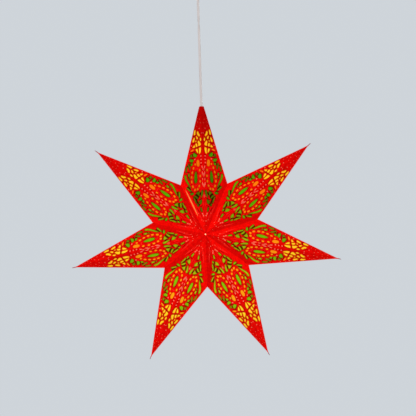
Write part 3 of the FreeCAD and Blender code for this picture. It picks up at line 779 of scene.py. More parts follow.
def flat_net(edge, cuts):
    """Triangulates the sheet with its cut-outs.

    A cut-out that is wide enough has a second outline SOFT_EDGE further in. Gives places,
    triangles, their kinds, and for each place 1 inside such an outline and 0 elsewhere.
    """
    edge = anticlockwise(np.asarray(edge, float))
    cuts = [(anticlockwise(outline), kind) for outline, kind in cuts]
    lines = [(offset(outline, LINES[kind][1]), LINES[kind][0]) for outline, kind in cuts
             if kind in LINES]
    cores = [offset(outline, -SOFT_EDGE) for outline, kind in cuts
             if kind in LINES and is_wide(outline)]
    outlines = [edge] + [outline for outline, _ in lines + cuts] + cores
    starts = np.cumsum([0] + [len(o) for o in outlines])
    rings = [list(range(a, b)) for a, b in zip(starts[:-1], starts[1:])]
    places, _, faces, *_ = delaunay_2d_cdt(
        [Vector(p) for p in np.concatenate(outlines)], [], rings, 1, TOLERANCE, False)
    places = np.array([tuple(p) for p in places])
    triangles = np.array([tuple(f) for f in faces])
    middle = places[triangles].mean(1)
    kinds = np.full(len(triangles), RED)
    marks = [cut for cut in cuts if cut[1] in (DEEP_RED, LINE)]
    openings = [cut for cut in cuts if cut[1] not in (DEEP_RED, LINE)]
    for outline, kind in sorted(marks + lines, key=lambda mark: mark[1]) + openings:
        kinds[inside(middle, outline)] = kind
    depth = np.zeros(len(places))
    for core in cores:
        depth[inside(places, offset(core, CORE_SLACK))] = 1
    return places, triangles, kinds, depth


print("kinds of paper and tissue:", INSIDE + 1)

# %% [markdown]
# ## From the net to a skin
# The net is still flat. Each of its points gets a copy at the level of the tissue and one at
# the back, and faces join whichever copies they need. Points that no face uses are dropped,
# so the sheet is one closed skin without a stray point.

# %% Raise a net
PAPER = 0.4
CUT_DEPTH = 0.22
BACK_INSET = 0.5


def open_edges(triangles, count):
    """The sides of triangles that no other triangle of the set shares, kept in their order."""
    sides = np.concatenate((triangles[:, :2], triangles[:, 1:], triangles[:, ::2][:, ::-1]))
    key = sides[:, 0] * count + sides[:, 1]
    other = sides[:, 1] * count + sides[:, 0]
    return sides[~np.isin(key, other)]


def raise_sheet(places, triangles, kinds, depth):
    """A closed skin from the flat net: red paper above, tissue lower, a flat back.

    Point i has a copy at the face, one at the tissue's level and one at the back. Gives
    points as u, v and height, faces, the faces' materials and each point's depth.
    """
    count = len(places)
    cut = kinds > AMBER_LINE
    rim = open_edges(triangles[cut], count)
    edge = open_edges(triangles, count)
    after = dict(edge.tolist())
    loop = [int(edge[0, 0])]
    while after[loop[-1]] != loop[0]:
        loop.append(after[loop[-1]])
    a, b = rim.T
    walls = np.stack((b + count, a + count, a, b), -1)
    a, b = edge.T
    sides = np.stack((a + 2 * count, b + 2 * count, b, a), -1)
    points = np.zeros((3 * count, 3))
    points[:, :2] = np.tile(places, (3, 1))
    points[count:2 * count, 2] = -CUT_DEPTH
    points[2 * count:, 2] = -PAPER
    points[2 * count + np.array(loop), :2] = offset(places[loop], -BACK_INSET)
    faces = (triangles[~cut].tolist() + (triangles[cut] + count).tolist()
             + walls.tolist() + sides.tolist() + [[i + 2 * count for i in loop[::-1]]])
    slots = (kinds[~cut].tolist() + kinds[cut].tolist()
             + [RED] * (len(walls) + len(sides)) + [INSIDE])
    used = np.unique(np.concatenate([np.array(f) for f in faces]))
    renumbered = np.zeros(3 * count, int)
    renumbered[used] = np.arange(len(used))
    faces = [renumbered[f].tolist() for f in faces]
    return points[used], faces, slots, np.tile(depth, 3)[used]


print("paper %.2f mm, tissue %.2f mm below its face" % (PAPER, CUT_DEPTH))

# %% The four nets
HUB_GAP = 1.5
TIP_START = 15.9
COLLAR_START = 39.8
SEAM_SLIT = leaf((198, 62.5), (271, 21.5), 3.4, -0.6, 0.55, 12)
# painted light: a pale spot of glow at one notch, where the lamp's light shows through
NOTCH_LEAK = bead(180.6, 74.4, 2.4, 1.8, 30, 8)
# kind, how far the outlines are moved outwards in mm, outlines
LAYERS = (
    (DEEP_RED, 0, SHADE), (LINE, 0, DARK), (SLIT, 0, SLITS), (OLIVE_TISSUE, 0, OLIVE),
    (UMBER_TISSUE, 0.5, UMBER), (GREEN_TISSUE, 0.25, SMALL_GREEN), (GREEN_TISSUE, 0, GREEN),
    (YELLOW_TISSUE, -0.35, YELLOW), (ORANGE_TISSUE, 0, ORANGE), (PRICK, 0, PRICKS))
PATTERN = [(on_sheet(offset(anticlockwise(outline), growth)), kind)
           for kind, growth, outlines in LAYERS for outline in outlines]


def sheet_edge(start):
    """The sheet's own outline: it starts square to the ridge and stops short of the hub."""
    hub_v = HUB_GAP * NOTCH_V / (RIDGE - NOTCH_U)
    return np.array((
        (start, 0), (RIDGE - HUB_GAP, 0), (RIDGE - HUB_GAP, hub_v),
        (NOTCH_U, NOTCH_V), (start, start * NOTCH_V / NOTCH_U)))


NETS = {}
for word, start, extra in (
        ("plain", TIP_START, []),
        ("collar", COLLAR_START, []),
        ("seam", COLLAR_START, [(SEAM_SLIT, SEAM)]),
        ("leak", TIP_START, [(NOTCH_LEAK, PRICK)])):
    cuts = [(o, kind) for o, kind in PATTERN + extra if o[:, 0].min() > start + 1]
    NETS[word] = raise_sheet(*flat_net(sheet_edge(start), cuts))
    print("%-7s net: %d points, %d faces" % (word, len(NETS[word][0]), len(NETS[word][1])))

# %% [markdown]
# ## Where the lamp's light falls
# Red paper over a lamp isn't evenly bright: it is brightest by the hub, dark at the solid
# tips, and clouded where its fibres lie thicker. A lamp inside thin sheets would show this,
# with much noise and only in this one renderer. So the sheets are given a glow of their own,
# worked out from each point's distance to the lamp, on top of an ordinary paper colour.

# %% Light by place
SHEET_UV = "sheet"
CUT_MIDDLE = "cut_middle"
UV_SCALE = 320.0
VALLEY_ANGLE = math.atan2(NOTCH_V, RIDGE - NOTCH_U)
CREASE_ANGLE = math.atan2(NOTCH_V, NOTCH_U)
# where each smooth step begins and ends, in metres from the star's middle
HUB_TO_TIP = (0.11, 0.28)
LOW_TO_HIGH = (-0.19, 0.13)
TOP_POINT = (0.15, 0.27)
STRIPE = (0.014, 0.05)
STRIPE_START = (0.02, 0.06)
STRIPE_END = (0.12, 0.19)
TAIL = (0.2975, 0.3025)


def lamp_reach(finish):
    """How near the hub, how low, how far up the top point, how shaded and how far past a tip.

    Each goes from 0 to 1. The shade is the lampholder's, a narrow stripe above the hub.
    """
    centred = finish.add("ShaderNodeVectorMath", {"operation": "SUBTRACT"}, {
        0: finish.place, 1: tuple(CENTRE)})
    reach = finish.add("ShaderNodeVectorMath", {"operation": "LENGTH"}, {0: centred}, 1)
    axes = finish.add("ShaderNodeSeparateXYZ", {}, {0: centred})
    x, z = axes.part("X"), axes.part("Z")
    near = 1 - finish.step(reach, *HUB_TO_TIP)
    low = 1 - finish.step(z, *LOW_TO_HIGH)
    top = finish.step(z, *TOP_POINT)
    stripe = 1 - finish.step(finish.math("ABSOLUTE", x), *STRIPE)
    shadow = stripe * finish.step(z, *STRIPE_START) * (1 - finish.step(z, *STRIPE_END))
    return near, low, top, shadow, finish.step(reach, *TAIL)


print("valley angle %.1f, crease angle %.1f degrees" % (
    math.degrees(VALLEY_ANGLE), math.degrees(CREASE_ANGLE)))

# %% Light and shade beside the folds
# where each mark begins and ends, in mm from its fold
MARGIN = (11.5, 13.5)
FOLD_LINE = (0.6, 1.8)
CREASE_GLOW_BAND = (0.5, 1.6)
# how much painted light brightens the margin, how much painted shade takes off that on
# right sheets, and how much painted shade darkens a ridge
MARGIN_LIGHT_GAIN, MARGIN_SHADE_LOSS, RIDGE_SHADE_LOSS = 0.07, 0.27, 0.12
RAY_END = RIDGE + 8


def fold_light_and_shade(finish):
    """Painted light and shade from a sheet's own map, beside the valley and the folds.

    The distance from the valley is (ridge - u) sin a - v cos a, and from the outer crease
    u sin b - v cos b, with a and b the sheet's angles at the hub and at the tip. Left sheets
    have v below 0. The margin beside the valley is double paper on right sheets. It carries
    painted light on left sheets and painted shade on right ones, where it is darker, and
    painted shade darkens the ridge. A paler line of glow runs along the outer crease, and faint
    rays run out from just past the hub.
    """
    spot = finish.add("ShaderNodeSeparateXYZ", {}, {
        0: finish.add("ShaderNodeUVMap", {"uv_map": SHEET_UV})})
    u, side_v = spot.part("X") * UV_SCALE, spot.part("Y") * UV_SCALE
    v = finish.math("ABSOLUTE", side_v)
    right = finish.step(side_v, 0.0, 0.5)
    valley = (RIDGE - u) * math.sin(VALLEY_ANGLE) - v * math.cos(VALLEY_ANGLE)
    crease = u * math.sin(CREASE_ANGLE) - v * math.cos(CREASE_ANGLE)
    margin = 1 - finish.step(valley, *MARGIN)
    fold = 1 - finish.step(v, *FOLD_LINE)
    rays = finish.noise(30, place=finish.add("ShaderNodeCombineXYZ", {}, {
        "X": v / (RAY_END - u) * 2.0, "Y": u * 0.002}))
    light = (1 + margin * (MARGIN_LIGHT_GAIN - right * MARGIN_SHADE_LOSS)) * (1 - fold * RIDGE_SHADE_LOSS)
    light = light * (rays * 0.5 + 0.75)
    return light, (1 - finish.step(crease, *CREASE_GLOW_BAND)) * 0.5


print("pasted margin: %.1f mm wide" % MARGIN[0])

# %% [markdown]
# ## Paper and tissue
# All paper of the star is one recipe with other numbers: a plain colour, a glow for the upper
# and one for the lower points, clouds and fibres. Tissue also darkens towards the rim of its
# cut-out, partly where the paste soaks in and partly as painted shade by the cut's edge, and
# the twisted tips end in a dull, unlit tail.

# %% The paper recipe
RED_LIT = (0.38, 0.0012, 0.0006)
RED_GLOW = (0.45, 0.0012, 0.0004)
CREASE_GLOW_TINT = (0.62, 0.10, 0.07)


def paper_finish(name, lit, glow_up, glow_down, far=0.6, top_loss=0.3, shade=0.1,
                 clouds=0.3, marks=False, rim=None, tail=None):
    """Paper with a colour of its own and a glow.

    lit is the plain colour, and glow_up and glow_down are the glow in the upper and the
    lower points. far is the share of it that is left at the tips, top_loss what the top
    point loses towards its end, and shade what the lampholder's shadow takes away. rim is
    how the colour and the glow are tinted at the edge of a cut-out: partly where the paste
    soaks into the tissue, partly painted shade by the cut's edge. marks adds the painted
    light and shade beside the folds. tail is the colour of the twisted ends past the tips,
    which don't glow.
    """
    finish = Finish(name)
    near, low, top, shadow, past = lamp_reach(finish)
    cloud = finish.noise(170, detail=4.0, roughness=0.6)
    fibre = finish.noise(1500, stretch=(1, 0.25, 1))
    strength = ((cloud - 0.5) * (2 * clouds) + 1) * (near * (1 - far) + far)
    strength = strength * (1 - top * top_loss) * (1 - shadow * shade)
    base = finish.scaled(lit, (
        (fibre - 0.5) * 0.25 + (cloud - 0.5) * clouds + 1) * (1 - shadow * (shade * 0.8)))
    glowing = finish.mix(low, glow_up, glow_down)
    if rim:
        middle = finish.add("ShaderNodeAttribute", {"attribute_name": CUT_MIDDLE}).part("Fac")
        glowing = finish.mix(1 - middle, glowing, rim, "MULTIPLY")
        base = finish.mix(1 - middle, base, rim, "MULTIPLY")
    if tail:
        base = finish.mix(past, base, tail)
        glowing = finish.mix(past, glowing, (0, 0, 0))
    # painted light and shade beside the folds, and a paler line of glow along the crease
    if marks:
        light, edge = fold_light_and_shade(finish)
        strength = strength * light
        base = finish.scaled(base, light)
        glowing = finish.mix(edge, glowing, CREASE_GLOW_TINT)
    return finish.finish(
        base_color=base, roughness=cloud * 0.3 + 0.55, specular_ior_level=0.0,
        emission_color=finish.scaled(glowing, strength), emission_strength=1.0,
        normal=finish.bump(fibre * 0.5 + cloud * 0.5, 0.12 * MM, 0.6))


tip_paper = paper_finish(
    "tip_paper", RED_LIT, RED_GLOW, (0.52, 0.0016, 0.0006),
    far=0.66, top_loss=0.85, clouds=0.5, tail=(0.30, 0.09, 0.10))
print("finish of the tips:", tip_paper.name)

# %% The sheets' finishes
RIM = (0.8, 0.55, 0.6)
# one for each kind, in the order of the kinds
SHEET_FINISHES = [paper_finish(*colours, **settings) for *colours, settings in (
    ("red_paper", RED_LIT, RED_GLOW, (0.52, 0.0022, 0.0010),
     dict(far=0.66, top_loss=0.85, shade=0.04, clouds=0.65, marks=True)),
    ("deep_red_line", (0.16, 0.0008, 0.0004), (0.14, 0.0006, 0.0002), (0.20, 0.0008, 0.0003),
     dict(top_loss=0.85, shade=0.15, clouds=0.6)),
    ("dark_cut_edge", (0.055, 0.008, 0.001), (0.03, 0.006, 0.0), (0.07, 0.014, 0.0),
     dict(shade=0.7)),
    ("amber_cut_edge", (0.24, 0.014, 0.001), (0.26, 0.02, 0.0), (0.32, 0.035, 0.001),
     dict(top_loss=0.5)),
    ("yellow_tissue", (0.42, 0.23, 0.006), (0.74, 0.42, 0.008), (0.74, 0.52, 0.016),
     dict(far=0.7, rim=(0.96, 0.55, 0.4))),
    ("green_tissue", (0.035, 0.12, 0.0012), (0.055, 0.27, 0.0), (0.25, 0.46, 0.002),
     dict(far=0.45, shade=0.5, rim=(0.9, 0.6, 0.6))),
    ("olive_tissue", (0.05, 0.12, 0.0012), (0.105, 0.24, 0.0), (0.42, 0.44, 0.004),
     dict(far=0.45, shade=0.62, clouds=0.5, rim=RIM)),
    ("umber_tissue", (0.055, 0.06, 0.0012), (0.09, 0.10, 0.0), (0.26, 0.19, 0.003),
     dict(far=0.45, shade=0.62, clouds=0.5, rim=RIM)),
    ("orange_tissue", (0.42, 0.08, 0.002), (0.60, 0.13, 0.002), (0.62, 0.31, 0.006),
     dict(far=0.7, shade=0.3, rim=(1.0, 0.55, 0.4))),
    ("prick_light", (0.42, 0.08, 0.045), (0.50, 0.14, 0.08), (0.60, 0.23, 0.12),
     dict(far=0.45, top_loss=0.8)),
    ("slit_light", (0.42, 0.008, 0.005), (0.54, 0.012, 0.008), (0.60, 0.03, 0.018), {}),
    ("seam_light", (0.5, 0.13, 0.03), (0.55, 0.15, 0.035), (0.55, 0.15, 0.035),
     dict(far=1.0)),
    # the inner faces glow warm orange: painted light of the lamp inside the star
    ("inner_paper", (0.45, 0.05, 0.02), (0.55, 0.14, 0.05), (0.60, 0.16, 0.06), {}))]
print("paper finishes:", [m.name for m in SHEET_FINISHES])

# %% [markdown]
# ## Strips behind the folds
# Real paper runs on across a fold. Here each triangle is stiff and turns about one hinge, so
# its edges part by a few millimetres when the star is folded away. One could bend the sheets,
# but they stay truer with a narrow strip behind each fold: it rides on one sheet, reaches
# behind the other and is out of sight on the open star, like the margins of pasted paper.

# %% A strip
STRIP_PAPER = 0.25
STRIP_BEHIND = 0.3
STRIP_INSIDE = 1.5
STRIP_AT_FOLD = 0.4
STRIP_AT_ENDS = 0.6
STRIP_SHARES = (0.001, 0.999)


def strip(start, end, inward, width, mirrored, rows=16):
    """A strip behind an edge, as points u, v and height of the sheet that it rides on.

    p is behind the sheet and its image q = mirrored(p) behind the next one. Across, the
    strip runs from inside the edge by the mean of p and q at the fold to q at its reach,
    which is width * (1 - (2t - 1)^4) more than at the ends.
    """
    start, end, inward = (np.asarray(x, float) for x in (start, end, inward))
    t = np.linspace(*STRIP_SHARES, rows)[:, None]
    edge = start + (end - start) * t
    reach = STRIP_AT_ENDS + width * (1 - (2 * t - 1) ** 4)

    def behind(place, depth):
        return np.concatenate((place, np.full((rows, 1), -depth)), 1)

    lines = []
    for depth in (PAPER + STRIP_BEHIND, PAPER + STRIP_BEHIND + STRIP_PAPER):
        fold = behind(edge + inward * STRIP_AT_FOLD, depth)
        lines.append([behind(edge + inward * STRIP_INSIDE, depth), (fold + mirrored(fold)) / 2,
                      mirrored(behind(edge + inward * reach, depth))])
    ring = lines[0] + lines[1][::-1]
    points = np.stack(ring, 1).reshape(-1, 3)
    faces = tube_faces(rows, len(ring))
    middle = points.mean(0)
    volume = sum(np.dot(points[f[0]] - middle, np.cross(
        points[f[1]] - middle, points[f[2]] - middle)) for f in faces)
    return points, faces if volume > 0 else turned_over(faces)


print("strips lie %.1f mm behind the sheets" % STRIP_BEHIND)

# %% The sheet on the other side of a fold
FOLD_AXIS = (-0.1986, 0.3262, 0.9242)
FOLD_TURN = math.radians(28.505)


def mirror_in(normal, turn=0.0):
    """Mirrors u, v, height points in a plane through the star's middle.

    With a turn, the points first turn with the folded sheet, and the image turns back.
    """
    tip, *axes, _ = sheet_axes(1, "front", "right")
    axes = np.stack(axes)
    tip = (tip - CENTRE) / MM
    normal = np.asarray(normal, float)
    spin = np.array(Matrix.Rotation(turn, 3, Vector(FOLD_AXIS)))

    def image(points):
        places = points @ axes @ spin.T + tip
        places = places - 2 * (places @ normal)[:, None] * normal
        return (places - tip) @ spin @ axes.T
    return image


print("image of the tip in its ridge plane:", mirror_in((1, 0, 0))(np.zeros((1, 3)))[0].round(3))

# %% The three strips
STRIP_START = 48
NOTCH_STOP = 1
HUB_STOP = 4
STRIP_WIDTH = 4.5
CREASE_WIDTH = 6.0

crease_end = NOTCH_U - NOTCH_STOP
RIDGE_STRIP = strip(
    (STRIP_START, 0), (RIDGE - HUB_STOP, 0), (0, 1), STRIP_WIDTH,
    mirror_in((1, 0, 0), FOLD_TURN))
CREASE_STRIP = strip(
    (STRIP_START, STRIP_START * NOTCH_V / NOTCH_U), (crease_end, crease_end * NOTCH_V / NOTCH_U),
    (math.sin(CREASE_ANGLE), -math.cos(CREASE_ANGLE)), CREASE_WIDTH, mirror_in((0, 1, 0)))
VALLEY_STRIP = strip(
    (NOTCH_U, NOTCH_V), (RIDGE - HUB_STOP, HUB_STOP * NOTCH_V / (RIDGE - NOTCH_U)),
    (-math.sin(VALLEY_ANGLE), -math.cos(VALLEY_ANGLE)), STRIP_WIDTH,
    mirror_in((math.cos(HALF_ANGLE), 0, -math.sin(HALF_ANGLE))))
print("strips of %d faces each" % len(RIDGE_STRIP[1]))

# %% [markdown]
# ## The twenty eight sheets
# Each sheet takes one of the flat nets and lays it along its own axes, with the outer face on
# the fold planes of the star. Left sheets mirror the net, so their faces are turned over. The
# closing seam of the star, between its last and first points, gapes a little and glows.

# %% Lay the sheets
total = 0
for point in range(1, POINTS + 1):
    for face in ("front", "back"):
        for side in ("right", "left"):
            node = "point%d_%s_%s" % (point, face, side)
            word = "collar" if point == 1 else "plain"
            word = {"point1_front_left": "seam", "point6_front_left": "leak"}.get(node, word)
            flat, faces, slots, depth = NETS[word]
            strips = [RIDGE_STRIP] if side == "right" else []
            if face == "front":
                strips.append(CREASE_STRIP)
            if side == "right" and point < POINTS:
                strips.append(VALLEY_STRIP)
            for points, strip_faces in strips:
                faces = faces + [[i + len(flat) for i in f] for f in strip_faces]
                flat = np.concatenate((flat, points))
                slots = slots + [RED] * len(strip_faces)
                depth = np.concatenate((depth, np.zeros(len(points))))
            tip, u, v, w, hand = sheet_axes(point, face, side)
            points = tip + (flat @ np.stack((u, v, w))) * MM
            if hand < 0:
                faces = turned_over(faces)
            sheet = add_piece(
                "sheet_" + node, points, faces, node, SHEET_FINISHES, smooth=False, slots=slots)
            chart = sheet.data.uv_layers.new(name=SHEET_UV)
            corner = np.empty(len(sheet.data.loops), np.int32)
            sheet.data.loops.foreach_get("vertex_index", corner)
            sign = 1 if side == "right" else -1
            chart.data.foreach_set(
                "uv", (flat[corner, :2] * (1, sign) / UV_SCALE).astype(np.float32).ravel())
            middles = sheet.data.attributes.new(CUT_MIDDLE, "FLOAT", "POINT")
            middles.data.foreach_set("value", depth.astype(np.float32))
            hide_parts(node)
            total += len(faces)
print("28 sheets with %d faces" % total)

# %% [markdown]
# ## Pasted tips and the collar
# The ends of the sheets are folded over and pasted, so the last 15 mm of each point is solid
# and ends in a small flattened tail. The top point is cut off square and stays open, as a
# collar for the flex. Both are rings of a diamond section that shrinks towards the tip. The
# ring nearest the sheets follows their slanting start, so nothing steps at the join.

# %% Shapes for the ends
CREASE_RUN = TIP_RADIUS - NOTCH_RADIUS * math.cos(HALF_ANGLE)
CREASE_SLOPE = NOTCH_RADIUS * math.sin(HALF_ANGLE) / CREASE_RUN
RIDGE_SLOPE = HALF_DEPTH / TIP_RADIUS
ROUNDING = 1.12
CLEARANCE = 0.15


def diamond(columns):
    """A diamond with slightly rounded corners: |x|^p + |y|^p = 1, with p the rounding."""
    turn = circle(columns)
    x, y = np.cos(turn), np.sin(turn)
    return np.stack((np.sign(x) * np.abs(x) ** (2 / ROUNDING),
                     np.sign(y) * np.abs(y) ** (2 / ROUNDING)), -1)


def sheet_line(start, section):
    """Depth behind the tip of the sheets' slanting start, less the clearance.

    It is start at a ridge and more at a crease.
    """
    ridge = (start - CLEARANCE) * TIP_RADIUS / (RIDGE * MM)
    crease = (start - CLEARANCE) / NOTCH_U * CREASE_RUN / MM
    return ridge + (crease - ridge) * np.abs(section[:, 0]) ** ROUNDING


def swollen(slope, depth, least):
    """Half a width: slope * depth, but never less than least, (s^4 + least^4)^(1/4)."""
    return ((slope * np.maximum(depth, 0)) ** 4 + least ** 4) ** 0.25


def place_points(across, off, depth, point):
    """Points of a star point: across and off its ridge plane, and depth from its tip."""
    flat = np.stack((across, off, TIP_RADIUS / MM - depth), -1).reshape(-1, 3) * MM
    return turned(flat.T, point).T + CENTRE


section = diamond(32)
print("end section of", len(section), "points")

# %% Tips
TAIL_LENGTH = 7.0
TAIL_HALF = (0.9, 0.5)

shares = np.concatenate((np.linspace(0, 0.8, 8), np.linspace(0.85, 1, 8)))[:, None]
tail_rows = np.linspace(-0.6, -TAIL_LENGTH, 10)[:, None] + 0 * section[:, 0]
depths = np.concatenate((sheet_line(TIP_START, section) * (1 - shares), tail_rows))
past = np.clip(-depths / TAIL_LENGTH, 0, 1)
taper = 1 - 0.3 * past ** 2 - 0.55 * past ** 24
x = swollen(CREASE_SLOPE, depths, TAIL_HALF[0] * taper) * section[:, 0]
y = swollen(RIDGE_SLOPE, depths, TAIL_HALF[1] * taper) * section[:, 1]
tip_faces = turned_over(tube_faces(*depths.shape))
for point in range(2, POINTS + 1):
    node = "point%d_tip" % point
    sway = 0.5 * past ** 2 * math.sin(point * 2.4)
    curl = 0.6 * past * math.cos(point * 1.7)
    across = x * np.cos(curl) - y * np.sin(curl) + sway
    off = x * np.sin(curl) + y * np.cos(curl)
    points = place_points(across, off, depths, point)
    tip = add_piece(
        "pasted_tip_%d" % point, points, tip_faces, "point%d" % point, [tip_paper])
    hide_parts(node)
print("6 tips, each with %d faces" % len(tip_faces))

# %% Collar
COLLAR_TOP = 19.0
COLLAR_WALL = 0.6
# what the wall takes off the half width and the half height, for each mm of thickness
WALL_SHARE = (1.55, 1.3)


def collar_rows(inset, levels):
    """Rows of the collar's section between the sheets' start and the cut, with an inset."""
    depth = sheet_line(COLLAR_START, section) * (1 - levels) + COLLAR_TOP * levels
    across = (CREASE_SLOPE * depth - inset * WALL_SHARE[0]) * section[:, 0]
    off = (RIDGE_SLOPE * depth - inset * WALL_SHARE[1]) * section[:, 1]
    return across, off, depth


levels = np.linspace(0, 1, 12)[:, None]
outer = collar_rows(0.0, levels)
inner = collar_rows(COLLAR_WALL, levels[::-1])
across, off, depth = (np.concatenate(pair) for pair in zip(outer, inner))
faces = turned_over(grid_quads(*depth.shape, closed=True))
collar = add_piece("collar", place_points(across, off, depth, 1), faces, "star", [tip_paper])
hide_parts("top_collar")
print("collar with %d faces" % len(faces))

# %% [markdown]
# ## Tie knots
# The seam beside the top point is closed with a thread through both sheets, knotted front and
# back near the hub. A bead would do at this size, but a real overhand knot is only one line:
# the trefoil curve, with a round section carried along it.

# %% Thread
THREAD_RADIUS = 0.4 * MM
KNOT_SCALE = 0.34 * MM
# a direction that the knot's line never follows
ASIDE = (0.13, 1, 0.21)


def closed_tube(line, radius, columns):
    """A round tube round a closed line: each ring is square to the line.

    A ring's first direction is also square to ASIDE, and its second to the first.
    """
    along = np.roll(line, -1, 0) - np.roll(line, 1, 0)
    along = along / np.linalg.norm(along, axis=1)[:, None]
    first = np.cross(along, ASIDE)
    first = first / np.linalg.norm(first, axis=1)[:, None]
    second = np.cross(along, first)
    turn = circle(columns)[:, None]
    rings = (line[:, None] + radius * (np.cos(turn) * first[:, None]
                                       + np.sin(turn) * second[:, None]))
    return rings.reshape(-1, 3), grid_quads(len(line), columns, closed=True)


thread = Finish("red_thread")
strand = thread.noise(4000)
thread_material = thread.finish(
    base_color=thread.mix(strand, (0.34, 0.006, 0.004), (0.55, 0.02, 0.012)),
    roughness=strand * 0.2 + 0.7, normal=thread.bump(strand, 0.2 * MM, 0.8))
print("thread %.1f mm thick" % (2 * THREAD_RADIUS / MM))

# %% Knots
t = circle(60)
trefoil = np.stack((np.sin(t) + 2 * np.sin(2 * t), -np.sin(3 * t),
                    np.cos(t) - 2 * np.cos(2 * t)), -1)
for face in ("front", "back"):
    node = "seam_knot_" + face
    low, high = (np.array(corner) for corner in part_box(node))
    knot, quads = closed_tube((low + high) / 2 + trefoil * KNOT_SCALE, THREAD_RADIUS, 8)
    piece = add_piece(
        "tie_knot_" + face, knot, quads, "point7_%s_right" % face, [thread_material])
    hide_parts(node)
print("2 knots of %d faces" % len(quads))

# %% [markdown]
# ## Finishes for the lamp and the fittings
# The lampholder, the bulb and the parts in the ceiling rose keep their solids, because their
# turned shapes are right already. Each gets a finish with its own small faults: moulded
# plastic is never quite even, brass is stained by fingers, and zinc has a cloudy bloom.

# %% Plastic and metal

def moulded(name, dark, light, rough, grain_depth=0.03):
    """Moulded plastic: faint clouds of colour and a fine grain."""
    finish = Finish(name)
    cloud = finish.noise(60, detail=3.0)
    grain = finish.noise(1400, detail=1.0)
    return finish.finish(
        base_color=finish.mix(cloud, dark, light), roughness=cloud * 0.15 + rough,
        normal=finish.bump(grain, grain_depth * MM, 0.5))


def metal(name, dark, light, rough, scale):
    """Bare metal: stained patches that are darker and duller than the rest."""
    finish = Finish(name)
    stain = finish.noise(scale, detail=5.0, roughness=0.6)
    scratch = finish.noise(900, stretch=(1, 1, 0.08))
    return finish.finish(
        base_color=finish.mix(stain, dark, light), metallic=1.0,
        roughness=(1 - stain) * 0.3 + rough, normal=finish.bump(scratch, 0.02 * MM, 0.4))


white_plastic = moulded("white_holder_plastic", (0.76, 0.75, 0.71), (0.84, 0.83, 0.80), 0.22)
rose_plastic = moulded(
    "white_rose_plastic", (0.74, 0.73, 0.69), (0.82, 0.81, 0.77), 0.38, 0.06)
nylon = moulded("natural_nylon", (0.62, 0.61, 0.55), (0.76, 0.75, 0.70), 0.35)
black = moulded("black_insulator", (0.012, 0.012, 0.013), (0.03, 0.03, 0.032), 0.3)
brass = metal("brass", (0.42, 0.27, 0.09), (0.72, 0.52, 0.20), 0.22, 140)
zinc = metal("zinc_plated_steel", (0.42, 0.43, 0.45), (0.62, 0.63, 0.65), 0.28, 110)
print("plastics and metals:", [
    m.name for m in (white_plastic, rose_plastic, nylon, black, brass, zinc)])

# %% Glass and glow
hot = Finish("hot_wire")
warmth = hot.noise(300)
hot_wire = hot.finish(
    base_color=(0.3, 0.28, 0.26), roughness=warmth * 0.2 + 0.3, metallic=1.0,
    emission_color=hot.mix(warmth, (1.0, 0.55, 0.22), (1.0, 0.72, 0.38)),
    emission_strength=4.0)
glow = Finish("lit_bulb_glass")
haze = glow.noise(70, detail=3.0)
lit_glass = glow.finish(
    base_color=(0.9, 0.85, 0.78), roughness=haze * 0.1 + 0.05,
    emission_color=glow.mix(haze, (1.0, 0.68, 0.36), (1.0, 0.78, 0.50)),
    emission_strength=1.0)
pane = Finish("stem_glass")
streak = pane.noise(200)
stem_glass = pane.finish(
    base_color=pane.mix(streak, (0.75, 0.78, 0.76), (0.86, 0.88, 0.87)),
    roughness=streak * 0.1 + 0.08)
print("glass and wire:", [m.name for m in (hot_wire, lit_glass, stem_glass)])

# %% Finishes on the solids
CARRIED = (
    (white_plastic, ("holder_cap", "holder_body", "holder_insert", "swing_ball")),
    (rose_plastic, ("cord_gland",)), (nylon, ("terminal_block", "cord_stop")),
    (black, ("bulb_insulator",)), (lit_glass, ("bulb_glass",)), (stem_glass, ("bulb_stem",)),
    (hot_wire, ("filament",)), (zinc, ("terminal_screws", "rose_screws", "rose_strap")),
    (brass, ("bulb_cap", "bulb_contact", "thread_shell", "centre_contact", "holder_terminals")))
for material, nodes in CARRIED:
    for node in nodes:
        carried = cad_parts[node]
        if not carried.data.materials:
            carried.data.materials.append(material)
        for holder in carried.material_slots:
            holder.material = material
print("finishes on", sum(len(nodes) for _, nodes in CARRIED), "solids")

# %% [markdown]
# ## Ceiling rose
# The rose is a turned plastic cup, closed by the gland below. Its solid has sharp rims, which
# moulded plastic never has. So the cup is turned again here from a profile whose corners are
# rounded, and a shadow groove is left where it meets the ceiling. The holes for its two side
# screws stay hidden under the screws' heads.

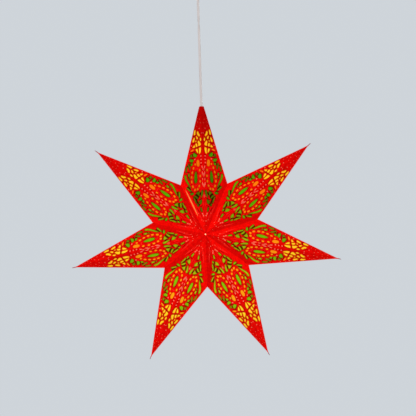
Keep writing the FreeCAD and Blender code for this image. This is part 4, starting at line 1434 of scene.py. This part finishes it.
# %% Rose cup
ROSE_RADIUS, ROSE_SIDE, ROSE_HEIGHT, ROSE_FOOT, ROSE_WALL = 50.0, 32.0, 48.0, 36.0, 1.2
GLAND_HOLE = 12.7
# distance from the axis, height and rounding of each corner
CUP_CORNERS = (
    (ROSE_RADIUS, 0, 0.4), (ROSE_RADIUS, -ROSE_SIDE, 6.0), (ROSE_FOOT, -ROSE_HEIGHT, 5.0),
    (GLAND_HOLE, -ROSE_HEIGHT, 0.3), (GLAND_HOLE, ROSE_WALL - ROSE_HEIGHT, 0.3),
    (ROSE_FOOT - ROSE_WALL / 2, ROSE_WALL - ROSE_HEIGHT, 4.2),
    (ROSE_RADIUS - ROSE_WALL, -ROSE_SIDE, 5.2), (ROSE_RADIUS - ROSE_WALL, 0, 0.4))


def round_corners(corners, steps=6):
    """A closed profile whose corners are eased: each becomes a quadratic curve.

    The curve starts and ends its rounding away from the corner along the two sides, with
    the corner as its control point.
    """
    corners, radii = np.split(np.asarray(corners, float), (2,), axis=1)
    before = np.roll(corners, 1, 0) - corners
    after = np.roll(corners, -1, 0) - corners
    start = corners + before / np.linalg.norm(before, axis=1)[:, None] * radii
    end = corners + after / np.linalg.norm(after, axis=1)[:, None] * radii
    t = np.linspace(0, 1, steps)[None, :, None]
    curve = (start[:, None] * (1 - t) ** 2 + corners[:, None] * 2 * t * (1 - t)
             + end[:, None] * t ** 2)
    return curve.reshape(-1, 2)


profile = round_corners(CUP_CORNERS)
turns = circle(128)
cup = np.stack((
    profile[:, :1] * np.cos(turns), profile[:, :1] * np.sin(turns),
    profile[:, 1:] + 0 * turns), -1).reshape(-1, 3) * MM
cup_faces = grid_quads(len(profile), len(turns), closed=True)
cup_piece = add_piece("rose_cup_turned", cup, cup_faces, "rose", [rose_plastic])
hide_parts("rose_cup")
print("rose cup: %d faces" % len(cup_faces))

# %% Lead inside the rose
LEAD_ROUTE = [(0, 0, z * MM) for z in (-44.4, -35, -25, -15)]

lead_line = spline_points(LEAD_ROUTE, 8)
lead = flex_piece("lead", lead_line, "rose", sheath_material, np.zeros_like)
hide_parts("lead_in_rose")
print("lead inside the rose: %d rings" % len(lead_line))
